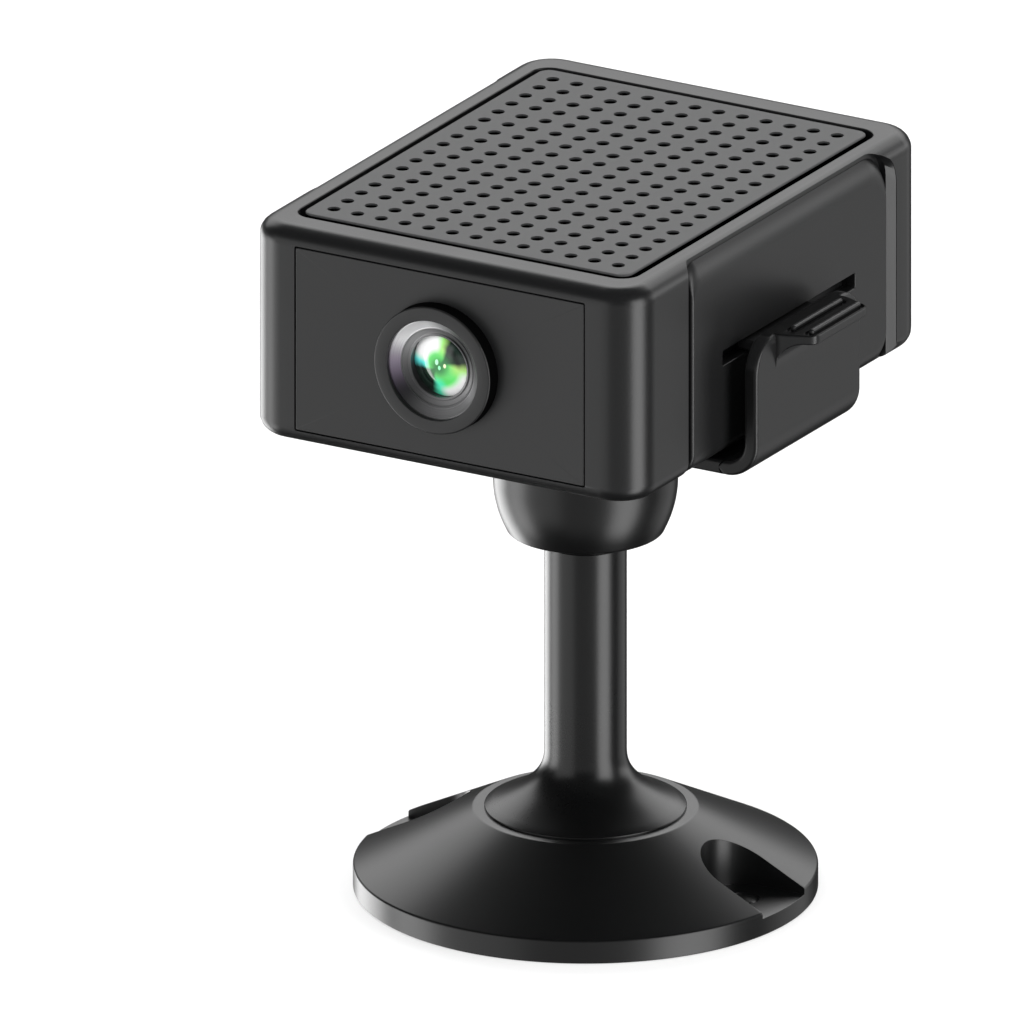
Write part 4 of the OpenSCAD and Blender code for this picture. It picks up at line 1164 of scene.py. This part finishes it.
class CAMERA_OT_bottom_cover(bpy.types.Operator):
    """Build the cover under the body with its four screw recesses"""

    bl_idname = "security_camera.bottom_cover"
    bl_label = "Bottom cover"

    def execute(self, context):
        piece = new_piece("bottom_cover", soft_block(COVER_LO, COVER_HI, 0.8, 0.25))
        low = COVER_LO[2]
        screws = around_corners(COVER_HI[0] - 2, COVER_HI[1] - 2)
        for radius, deep in ((1.8, 0.9), (1.05, 3)):
            cut(piece, *[rod(radius, low - 1, low + deep, at) for at in screws])
        bevelled(piece, 0.1, 50, 2)
        dress(piece, "camera", "body_plastic", "bottom_cover")
        return {"FINISHED"}


class CAMERA_OT_cradle_plate(bpy.types.Operator):
    """Build the flat cradle plate and the threaded boss under it"""

    bl_idname = "security_camera.cradle_plate"
    bl_label = "Cradle plate"

    def execute(self, context):
        """The plate is a rounded bar along X; a round seat for each clip arm is cut into its ends."""
        s = sizes("camera_cradle")
        top = PLATE_HI[2]
        half = s.plate / 2
        middle = top - half
        width = PLATE_HI[1]
        pivot = ARM_HI[0] - s.tab_out - s.plate - s.bend
        reach = pivot - 0.1
        section = frame_ring(-width, middle - half, width, middle + half, s.edge, steps=EDGE_STEPS)
        piece = new_piece("cradle_plate", loft(stack([section, section], [-reach, reach], "X")))
        seats = [rod(half + 0.03, -width - 1, width + 1, (a * pivot, middle), "Y", steps=96) for a in SIDES]
        cut(piece, *seats)
        low, outer, inner = PLATE_LO[2], 8.65, 7.25
        boss = [
            (0, top - 1, 0),
            (outer, top - 1, 0),
            (outer, low, 0.3),
            (inner, low, 0.2),
            (inner, top - 1.5, 0.2),
            (0, top - 1.5, 0),
        ]
        grown(piece, turned(rounded(boss, closed=False), steps=96))
        dress(piece, "cradle", "clip_plastic", "cradle_plate")
        return {"FINISHED"}


# Height of the top of an arm and of its tab, under the ribs
ARM_TOP = ARM_HI[2] - 0.5
# Half width and half length of the grooves in the thumb tab and of the ribs in them
GRIP_GROOVE = (0.72, 5.85)
GRIP_RIB = (0.32, 5.35)


class CAMERA_OT_clip_arms(bpy.types.Operator):
    """Build the two spring clip arms with hook and ribbed thumb tab"""

    bl_idname = "security_camera.clip_arms"
    bl_label = "Clip arms"

    def execute(self, context):
        s = sizes("camera_cradle")
        for name, body, turn in (
            ("clip_arm_right", "clip_right", lambda shape: shape),
            ("clip_arm_left", "clip_left", mirrored),
        ):
            piece = new_piece(name, turn(self.arm(s)))
            grown(piece, turn(self.hook(s)))
            grown(piece, turn(self.tab(s)))
            cut(piece, *[turn(bar) for bar in self.bars(s, *GRIP_GROOVE, ARM_TOP - 0.3, ARM_TOP + 1)])
            bevelled(piece, 0.07, 55, 2)
            grown(piece, *[turn(bar) for bar in self.bars(s, *GRIP_RIB, ARM_TOP - 0.6, ARM_HI[2], 0.26)])
            dress(piece, body, "clip_plastic", name, sharp=48)
        return {"FINISHED"}

    def outer_face(self, s):
        """X of the outer face of the right arm."""
        return ARM_HI[0] - s.tab_out

    def bars(self, s, half_width, half_length, low, high, edge=0):
        """The two level bars with round ends where the thumb grips the tab, as grooves or as ribs."""
        r, y = half_width, half_length
        return [
            soft_block((x - r, -y, low), (x + r, y, high), r, edge)
            for x in (self.outer_face(s) + 1.0, ARM_HI[0] - 0.95)
        ]

    def arm(self, s):
        """A flat section carried along a path: a quarter circle from the seat on the plate, then straight
        up. The section is a rounded rectangle across the path. Its thickness closes in a half circle at
        the seat, and its width narrows in a quarter circle of the corner radius at the top."""
        out, top = self.outer_face(s), ARM_TOP
        half = s.plate / 2
        pivot = np.array([out - s.plate - s.bend, PLATE_HI[2] - half])
        run = s.bend + half
        seat = np.radians(np.linspace(0, 84, 6))
        bend = np.radians(np.linspace(-90, 0, 17))
        rise = np.linspace(pivot[1] + run, top - s.arm_corner, 4)[1:]
        corner = np.radians(np.linspace(0, 84, 15))
        end = quarter()
        upright = len(rise) + len(corner) + len(end)
        x = np.concatenate([
            pivot[0] - half * np.sin(seat[::-1]),
            pivot[0] + run * np.cos(bend),
            np.full(upright, pivot[0] + run),
        ])
        z = np.concatenate([
            np.full(len(seat), pivot[1]),
            pivot[1] + run + run * np.sin(bend),
            rise,
            top - s.arm_corner + (s.arm_corner - s.edge) * np.sin(corner),
            top - s.edge + s.edge * np.sin(end),
        ])
        lean = np.concatenate([np.full(len(seat), -np.pi / 2), bend, np.zeros(upright)])
        thick = np.concatenate([
            half * np.cos(seat[::-1]),
            np.full(len(bend) + len(rise) + len(corner), half),
            half - s.edge * (1 - np.cos(end)),
        ])
        over = np.maximum(z - (top - s.arm_corner), 0)
        round_off = s.arm_corner - np.sqrt(np.maximum(s.arm_corner**2 - over**2, 0))
        wide = PLATE_HI[1] - round_off
        section = [
            frame_ring(-w, -t, w, t, min(s.edge, t * 0.98)) for w, t in zip(wide, thick)
        ]
        section = np.array(section)
        y = section[..., 0]
        across = section[..., 1]
        px = x[:, None] + across * np.cos(lean)[:, None]
        pz = z[:, None] + across * np.sin(lean)[:, None]
        return loft(np.stack([px, y, pz], axis=-1))

    def hook(self, s):
        """The level hook that reaches from the arm into the body slot."""
        low = BODY_LO[2] + sizes("camera_body").slot_up + 0.25
        outer = self.outer_face(s) - 1.05
        return soft_block((ARM_LO[0], -s.hook_half, low), (outer, s.hook_half, low + 1.2), 0.4, 0.3)

    def tab(self, s):
        """Upright sections carried outwards from the arm: their half length falls from root to tip in half
        a cosine wave and rounds off at the tip, and their lower edge rises in a quarter circle from the
        arm to the underside of the tab, so that the tab runs into the arm in a hollow with pointed ends."""
        out, top, tip = self.outer_face(s), ARM_TOP, ARM_HI[0]
        edge, corner, blunt = 0.26, 1.1, 0.9
        turn = quarter()[1:]
        x = np.concatenate([[out - 0.6], np.linspace(out, tip - edge, 30), tip - edge * (1 - np.sin(turn))])
        inset = np.concatenate([np.zeros(31), edge * (1 - np.cos(turn))])
        u = np.clip((x - out) / s.tab_out, 0, 1)
        half = s.tab_tip + (s.tab_root - s.tab_tip) * (0.5 + 0.5 * np.cos(np.pi * u))
        near = np.clip((x - (tip - corner)) / corner, 0, 1)
        half = half - corner * (1 - np.sqrt(1 - near**2)) * blunt
        reach = np.clip(x - out, 0, s.hollow)
        low = top - s.tab - s.hollow + np.sqrt(s.hollow**2 - (s.hollow - reach) ** 2)
        sections = [
            frame_ring(-h + i, l + i, h - i, top - i, edge) for h, l, i in zip(half, low, inset)
        ]
        return loft(stack(sections, x, "X"))


class CAMERA_OT_rear_fittings(bpy.types.Operator):
    """Build the USB socket, memory card, power button and light pipe of the rear face"""

    bl_idname = "security_camera.rear_fittings"
    bl_label = "Rear fittings"

    def execute(self, context):
        self.socket()
        self.card()
        self.button()
        self.light()
        return {"FINISHED"}

    def socket(self):
        """The socket's shell, a tube of flat oval section, with its tongue and contacts."""
        lo, hi = USB_LO, USB_HI
        wall, rim, depth = 0.3, 0.08, 5.8
        outer, mouth, inner = (
            frame_ring(lo[0] + g, lo[2] + g, hi[0] - g, hi[2] - g, corner, steps=12)
            for g, corner in ((0, 1.59), (rim, 1.5), (wall, 1.29))
        )
        heights = [lo[1], hi[1] - rim, hi[1], hi[1], hi[1] - depth]
        shell = loft(stack([outer, outer, mouth, inner, inner], heights, "Y"))
        centre, middle = middle_of(lo, hi)

        def bar(x, half, thick, start, end, corner, edge):
            low = (centre + x - half, middle - thick, hi[1] - start)
            return soft_block(low, (centre + x + half, middle + thick, hi[1] - end), corner, edge, "Y")

        tongue = bar(0, 3.3, 0.35, depth + 0.1, 0.9, 0.2, 0.1)
        contacts = [bar(x, 0.17, 0.41, 4.6, 1.3, 0.05, 0.03) for x in (np.arange(8) - 3.5) * 0.7]
        piece = new_piece("usb_port", shell, tongue, *contacts)
        dress(piece, "camera", "socket_steel", "usb_port")

    def card(self):
        """The memory card with the raised grip at its outer edge."""
        lo, hi = CARD_LO, CARD_HI
        plate = soft_block(lo, hi - np.array([0, 0, 0.12]), 0.5, 0.1)
        grip = soft_block((lo[0] + 1, hi[1] - 1.2, hi[2] - 0.3), (hi[0] - 1, hi[1] - 0.3, hi[2]), 0.3, 0.1)
        piece = new_piece("memory_card", plate, grip)
        dress(piece, "card", "card_plastic", "memory_card")

    def button(self):
        """The power button: a flange inside the wall and a cap with a shallow dished face."""
        lo, hi = BUTTON_LO, BUTTON_HI
        flange, flange_t, edge = (hi[0] - lo[0]) / 2, 0.8, 0.3
        radius = flange - 0.8
        dish_r, dish_deep = 7.8, 0.2
        dish = arc((0, hi[1] + dish_r - dish_deep), dish_r, -90, -90 + 12.5, 10)
        profile = np.concatenate([
            [(0, lo[1]), (flange, lo[1]), (flange, lo[1] + flange_t), (radius, lo[1] + flange_t)],
            arc((radius - edge, hi[1] - edge), edge, 0, 80, 5),
            dish[::-1],
        ])
        piece = new_piece("power_button", turned(profile, middle_of(lo, hi), "Y", steps=64))
        dress(piece, "power", "button_plastic", "power_button")

    def light(self):
        """The light pipe: a round bar with a domed end."""
        lo, hi = PIPE_LO, PIPE_HI
        dome_r = 1.7
        cap = arc((0, hi[1] - dome_r), dome_r, 90, 90 - 35, 8)
        profile = np.concatenate([[(0, lo[1]), ((hi[0] - lo[0]) / 2, lo[1])], cap[::-1]])
        piece = new_piece("light_pipe", turned(profile, middle_of(lo, hi), "Y", steps=48))
        dress(piece, "camera", "light_plastic", "light_pipe")


class CAMERA_OT_ball_joint(bpy.types.Operator):
    """Build the collar and the ball stud"""

    bl_idname = "security_camera.ball_joint"
    bl_label = "Ball joint"

    def execute(self, context):
        s = sizes("camera_stand")
        ball_r = BALL_HI[0]
        ball_z = BALL_HI[2] - ball_r
        low, top = COLLAR_LO[2], COLLAR_HI[2]
        out = COLLAR_HI[0]
        bowl_r = (s.bowl**2 + s.taper**2) / (2 * s.taper)
        lean = math.degrees(math.asin(s.bowl / bowl_r))
        bowl = arc((out - bowl_r, low + s.bowl), bowl_r, -lean + 3, 0, 20)
        pocket, lip = ball_r + 0.85, ball_r + 0.075
        wide, ledge = pocket + 0.25, PLATE_LO[2] - 0.1
        lip_start, lip_end = -27, -31.6
        inner = np.concatenate([
            [(wide, top), (wide, ledge), (pocket, ledge)],
            arc((0, ball_z), pocket, 0, lip_start, 10),
            arc((0, ball_z), lip, lip_start, lip_end, 3),
        ])
        mouth = lip * math.cos(math.radians(lip_end)) + 0.25
        foot = rounded([(mouth, low, 0), (out - s.taper + 0.05, low, 0.45), (*bowl[0], 0)], closed=False)
        shoulder = arc((out - 0.35, top - 0.35), 0.35, 0, 90, 6)
        profile = np.concatenate([foot, bowl[1:], shoulder, inner])
        piece = new_piece("collar", turned(profile, joined=True))
        dress(piece, "cradle", "stand_plastic", "collar")

        neck = s.stem - 0.05
        drop = math.degrees(math.acos(neck / ball_r))
        ball = arc((0, ball_z), ball_r, 90, -drop, 48)
        neck_z = STEM_HI[2] - 1
        thread, low = 2, BALL_LO[2]
        profile = np.concatenate([ball, [(neck, neck_z), (thread, neck_z), (thread, low), (0, low)]])
        piece = new_piece("ball_stud", turned(profile))
        dress(piece, "base", "stand_metal", "ball_stud")
        return {"FINISHED"}


class CAMERA_OT_stem(bpy.types.Operator):
    """Build the stem with its flared flange"""

    bl_idname = "security_camera.stem"
    bl_label = "Stem"

    def execute(self, context):
        """The flare's radius falls from the flange to the stem as a power of the height that is left."""
        s = sizes("camera_stand")
        ball_r = BALL_HI[0]
        ball_z = BALL_HI[2] - ball_r
        base = FOOT_HI[2]
        spigot = s.stem - 1.05
        u = np.linspace(0, 1, 33)
        radius = s.stem + (s.flange - s.stem) * (1 - u) ** 2.5
        height = base + s.flange_edge + s.flare * u
        flare = np.stack([radius, height], axis=1)
        rim = arc((s.flange - 0.12, base + s.flange_edge - 0.14), 0.12, 0, 70, 4)
        cup = ball_r + 0.05
        edge = math.degrees(math.acos(s.stem / cup))
        hollow = arc((0, ball_z), cup, -edge, -90, 12)
        profile = np.concatenate([
            [(0, STEM_LO[2]), (spigot, STEM_LO[2]), (spigot, base), (s.flange, base)],
            rim,
            flare[1:],
            hollow,
        ])
        piece = new_piece("stem", turned(profile, steps=160))
        dress(piece, "base", "stand_metal", "stem")
        return {"FINISHED"}


# Foot: bore for the stem's spigot, pockets for the ring weight and for the screw head, wall screw holes
SPIGOT_R = 3.55
WEIGHT_OUT, WEIGHT_IN, WEIGHT_DEEP = 14.5, 7.1, 4.1
HEAD_R = 4.5
WALL_SCREW_R = 1.9


class CAMERA_OT_foot(bpy.types.Operator):
    """Build the cone foot with its screw slots, and the rubber sole"""

    bl_idname = "security_camera.foot"
    bl_label = "Foot"

    def execute(self, context):
        s = sizes("camera_stand")
        radius, low, top = FOOT_HI[0], FOOT_LO[2], FOOT_HI[2]
        recess = SOLE_HI[0] + 0.1
        sole, head = SOLE_HI[2], STEM_LO[2]
        weight = sole + WEIGHT_DEEP
        profile = rounded([
            (SPIGOT_R, top, 0.1),
            (s.top, top, 0.6),
            (radius, s.rim, 0.35),
            (radius, low, 0.15),
            (recess, low, 0.1),
            (recess, sole, 0.1),
            (WEIGHT_OUT, sole, 0.3),
            (WEIGHT_OUT, weight, 0.3),
            (WEIGHT_IN, weight, 0.3),
            (WEIGHT_IN, sole, 0.3),
            (HEAD_R, sole, 0.2),
            (HEAD_R, head, 0.1),
            (SPIGOT_R, head, 0.1),
        ], 6)
        piece = new_piece("base_disc", turned(profile, joined=True, steps=192))
        slots, holes = [], []
        for side in SIDES:
            outline = np.concatenate([
                arc((s.screw, 0), s.slot, 90, 270, 32),
                [(radius + 4, -s.slot), (radius + 4, s.slot)],
            ]) * np.array([side, 1])
            slots.append(loft(stack([outline, outline], [s.slot_floor, top + 3])))
            holes.append(rod(WALL_SCREW_R, -1, top, (side * s.screw, 0)))
        cut(piece, *slots)
        cut(piece, *holes)
        bevelled(piece, 0.16, 30)
        dress(piece, "base", "stand_plastic", "base_disc", sharp=35)

        r = SOLE_HI[0]
        groove = 0.35
        line = [(0, SOLE_LO[2])]
        for at in (9.0, 15.0, 23.0):
            line += [(at - 0.6, 0), (at - 0.3, groove), (at + 0.3, groove), (at + 0.6, 0)]
        line += [(r, 0), (r, SOLE_HI[2]), (0, SOLE_HI[2])]
        profile = filleted(line, [0] + [0.12] * (len(line) - 2) + [0], 3, False)
        piece = new_piece("base_pad", turned(profile, steps=96))
        cut(piece, *[rod(WALL_SCREW_R, -1, 3, (side * s.screw, 0)) for side in SIDES])
        dress(piece, "base", "sole_rubber", "base_pad")
        return {"FINISHED"}


# Soft boxes of the surround: middle and half width round the object and soft edge, then lowest and highest
# elevation and soft edge, all in degrees, and radiance. 0 is straight ahead of the lens, 90 is the +X side
SURROUND = 0.03
SOFT_BOXES = (
    (208, 42, 15, 18, 40, 7, 2.1),
    (-28, 20, 12, -34, 14, 14, 0.98),
    (-108, 14, 8, -40, -12, 10, 4.6),
    (-66, 9, 8, -40, -8, 14, 3.6),
    (30, 22, 14, -44, 0, 14, 0.38),
    (83, 13, 9, -46, 20, 14, 4.2),
    (154, 16, 8, -32, 6, 14, 0.56),
    (146, 14, 10, 3, 14, 9, 1.4),
)
# Fills: name, direction round the object and elevation in degrees, power in watts
FILLS = (
    ("Front fill", 10, 25, 9),
    ("Side fill", 110, 25, 6),
    ("Rear fill", 220, 30, 6),
    ("Top fill", 0, 88, 9),
)
FILL_AWAY, FILL_SIDE, FILL_AIM = 1000, 900, 50
# View: direction round the object and elevation in degrees, width of the field, distance, and the point
# that it is centred on, as height and as shift to the left
VIEW_AROUND, VIEW_ABOVE = 30, 20
VIEW_WIDTH, VIEW_AWAY = 112.64, 600
VIEW_HEIGHT, VIEW_SHIFT = 43.7, 8.09


def direction(around, above):
    """Unit vector from the object towards a direction round it and an elevation, in degrees."""
    a, e = math.radians(around), math.radians(above)
    return Vector((math.sin(a) * math.cos(e), -math.cos(a) * math.cos(e), math.sin(e)))

KEPT = {
    "steel": "stem_screw stem_washer seat_spring cover_screws sensor_screws board_screws",
    "weight_iron": "base_weight",
    "band_plastic": "friction_band",
    "seat_plastic": "seat_cup",
    "sole_rubber": "cradle_pad",
    "mesh_fabric": "dust_mesh",
    "inner_black": "lens_spacer lens_retainer lens_holder speaker",
    "filter_glass": "ir_filter",
    "lens_glass": "rear_lens",
    "chip_black": "image_sensor ir_leds light_sensor processor button_switch reset_switch",
    "circuit_board": "sensor_board led_board main_board",
    "thermal_gel": "thermal_pad",
    "sink_aluminium": "heat_sink",
    "module_can": "wifi_module microphone",
    "antenna_copper": "antenna",
    "battery_film": "battery_pack",
    "lead_red": "battery_lead",
    "flex_film": "sensor_cable",
    "socket_steel": "card_slot",
    "button_plastic": "reset_button",
}


class CAMERA_OT_inner_finishes(bpy.types.Operator):
    """Give the CAD pieces that are kept their finishes"""

    bl_idname = "security_camera.inner_finishes"
    bl_label = "Inner finishes"

    def execute(self, context):
        for slot_name, names in KEPT.items():
            for name in names.split():
                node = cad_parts[name]
                node.data.materials.clear()
                node.data.materials.append(finish(slot_name))
        return {"FINISHED"}


class CAMERA_OT_stage(bpy.types.Operator):
    """Set up the pale floor, the soft studio light and the view"""

    bl_idname = "security_camera.stage"
    bl_label = "Stage"

    def execute(self, context):
        self.floor()
        self.sky(context.scene)
        self.fills()
        self.view(context.scene)
        return {"FINISHED"}

    def floor(self):
        """A wide pale floor under the sole."""
        made = Finish("Pale floor", (0.35, 0.35, 0.35), 0.9, Specular_IOR_Level=0.1)
        made.set("Emission Color", (1, 1, 1, 1))
        made.set("Emission Strength", 0.6)
        size = 3000
        points = np.array([(-size, -size, 0), (size, -size, 0), (size, size, 0), (-size, size, 0)], float)
        floor = new_piece("floor", (points, [[0, 1, 2, 3]]))
        floor.data.materials.append(made.material)
        floor.visible_glossy = False
        floor.visible_diffuse = False
        floor.visible_shadow = False
        floor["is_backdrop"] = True

    def sky(self, scene):
        """Light from all round: a dim surround with soft boxes. Each box is a product of a smooth step in
        the cosine of the angle from its middle, round the object, and of two smooth steps in elevation."""
        world = bpy.data.worlds.new("Studio")
        scene.world = world
        world.use_nodes = True
        tree = world.node_tree
        place = tree.nodes.new("ShaderNodeTexCoord")
        split = tree.nodes.new("ShaderNodeSeparateXYZ")
        tree.links.new(place.outputs["Generated"], split.inputs[0])
        x, y, z = (Value(tree, split.outputs[axis]) for axis in "XYZ")
        around = x.math("ARCTAN2", y * -1)
        above = z.math("ARCSINE") * (180 / math.pi)
        light = z * 0.0 + SURROUND
        for middle, half, soft, low, high, fade, radiance in SOFT_BOXES:
            near = (around - math.radians(middle)).math("COSINE")
            wide = near.step(math.cos(math.radians(half + soft)), math.cos(math.radians(half)))
            tall = above.step(low - fade, low) * (1 - above.step(high, high + fade))
            light = light + wide * tall * radiance
        tree.nodes["Background"].inputs["Color"].default_value = (1, 1, 1, 1)
        tree.links.new(light.socket, tree.nodes["Background"].inputs["Strength"])

    def fills(self):
        """Large soft lights that lift the matt part of every surface without showing in its gloss."""
        for name, around, above, power in FILLS:
            data = bpy.data.lights.new(name, "AREA")
            data.size = FILL_SIDE * MM
            data.energy = power
            away = direction(around, above)
            lamp = bpy.data.objects.new(name, data)
            bpy.context.scene.collection.objects.link(lamp)
            lamp.location = (Vector((0, 0, FILL_AIM)) + away * FILL_AWAY) * MM
            lamp.rotation_euler = (-away).to_track_quat("-Z", "Y").to_euler()
            lamp.visible_glossy = False
            lamp.visible_camera = False

    def view(self, scene):
        """A level camera with parallel projection, to the right of the lens and above it."""
        data = bpy.data.cameras.new("View")
        data.type = "ORTHO"
        data.ortho_scale = VIEW_WIDTH * MM
        data.clip_end = 10
        camera = bpy.data.objects.new("View", data)
        scene.collection.objects.link(camera)
        away = direction(VIEW_AROUND, VIEW_ABOVE)
        right = direction(VIEW_AROUND + 90, 0)
        target = Vector((0, 0, VIEW_HEIGHT)) - right * VIEW_SHIFT
        camera.location = (target + away * VIEW_AWAY) * MM
        camera.rotation_euler = (-away).to_track_quat("-Z", "Y").to_euler()
        scene.camera = camera
        scene.view_settings.view_transform = "Standard"


class CAMERA_PT_build(bpy.types.Panel):
    """Lists the steps that build the camera, and its sizes and colours"""

    bl_idname = "CAMERA_PT_build"
    bl_label = "Security camera"
    bl_space_type = "VIEW_3D"
    bl_region_type = "UI"
    bl_category = "Security camera"

    def draw(self, context):
        layout = self.layout
        for step in STEPS:
            layout.operator(step.bl_idname)
        for name, group in SETTINGS.items():
            box = layout.box()
            box.label(text=group.__doc__)
            for key in group.__annotations__:
                box.prop(getattr(context.scene, name), key)


STEPS = (
    CAMERA_OT_stage,
    CAMERA_OT_housing,
    CAMERA_OT_side_panels,
    CAMERA_OT_top_grille,
    CAMERA_OT_front_panel,
    CAMERA_OT_lens,
    CAMERA_OT_bottom_cover,
    CAMERA_OT_cradle_plate,
    CAMERA_OT_clip_arms,
    CAMERA_OT_rear_fittings,
    CAMERA_OT_ball_joint,
    CAMERA_OT_stem,
    CAMERA_OT_foot,
    CAMERA_OT_inner_finishes,
)
CLASSES = (*SETTINGS.values(), *STEPS, CAMERA_PT_build)


def register():
    """Registers the classes and hangs the sizes and colours on the scene."""
    for item in CLASSES:
        bpy.utils.register_class(item)
    for name, group in SETTINGS.items():
        setattr(bpy.types.Scene, name, bpy.props.PointerProperty(type=group))


def unregister():
    """Takes the sizes and colours off the scene and the classes out again."""
    for name in SETTINGS:
        delattr(bpy.types.Scene, name)
    for item in reversed(CLASSES):
        bpy.utils.unregister_class(item)


def main():
    """Builds every piece in order and works out the boxes of the CAD model and of the visual model."""
    register()
    for step in STEPS:
        group, name = step.bl_idname.split(".")
        getattr(getattr(bpy.ops, group), name)()
    boxes = {"cad": CAD_BOX, "visual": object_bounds()}
    plain = {key: [list(lo), list(hi)] for key, (lo, hi) in boxes.items()}


if __name__ == "__main__":
    main()
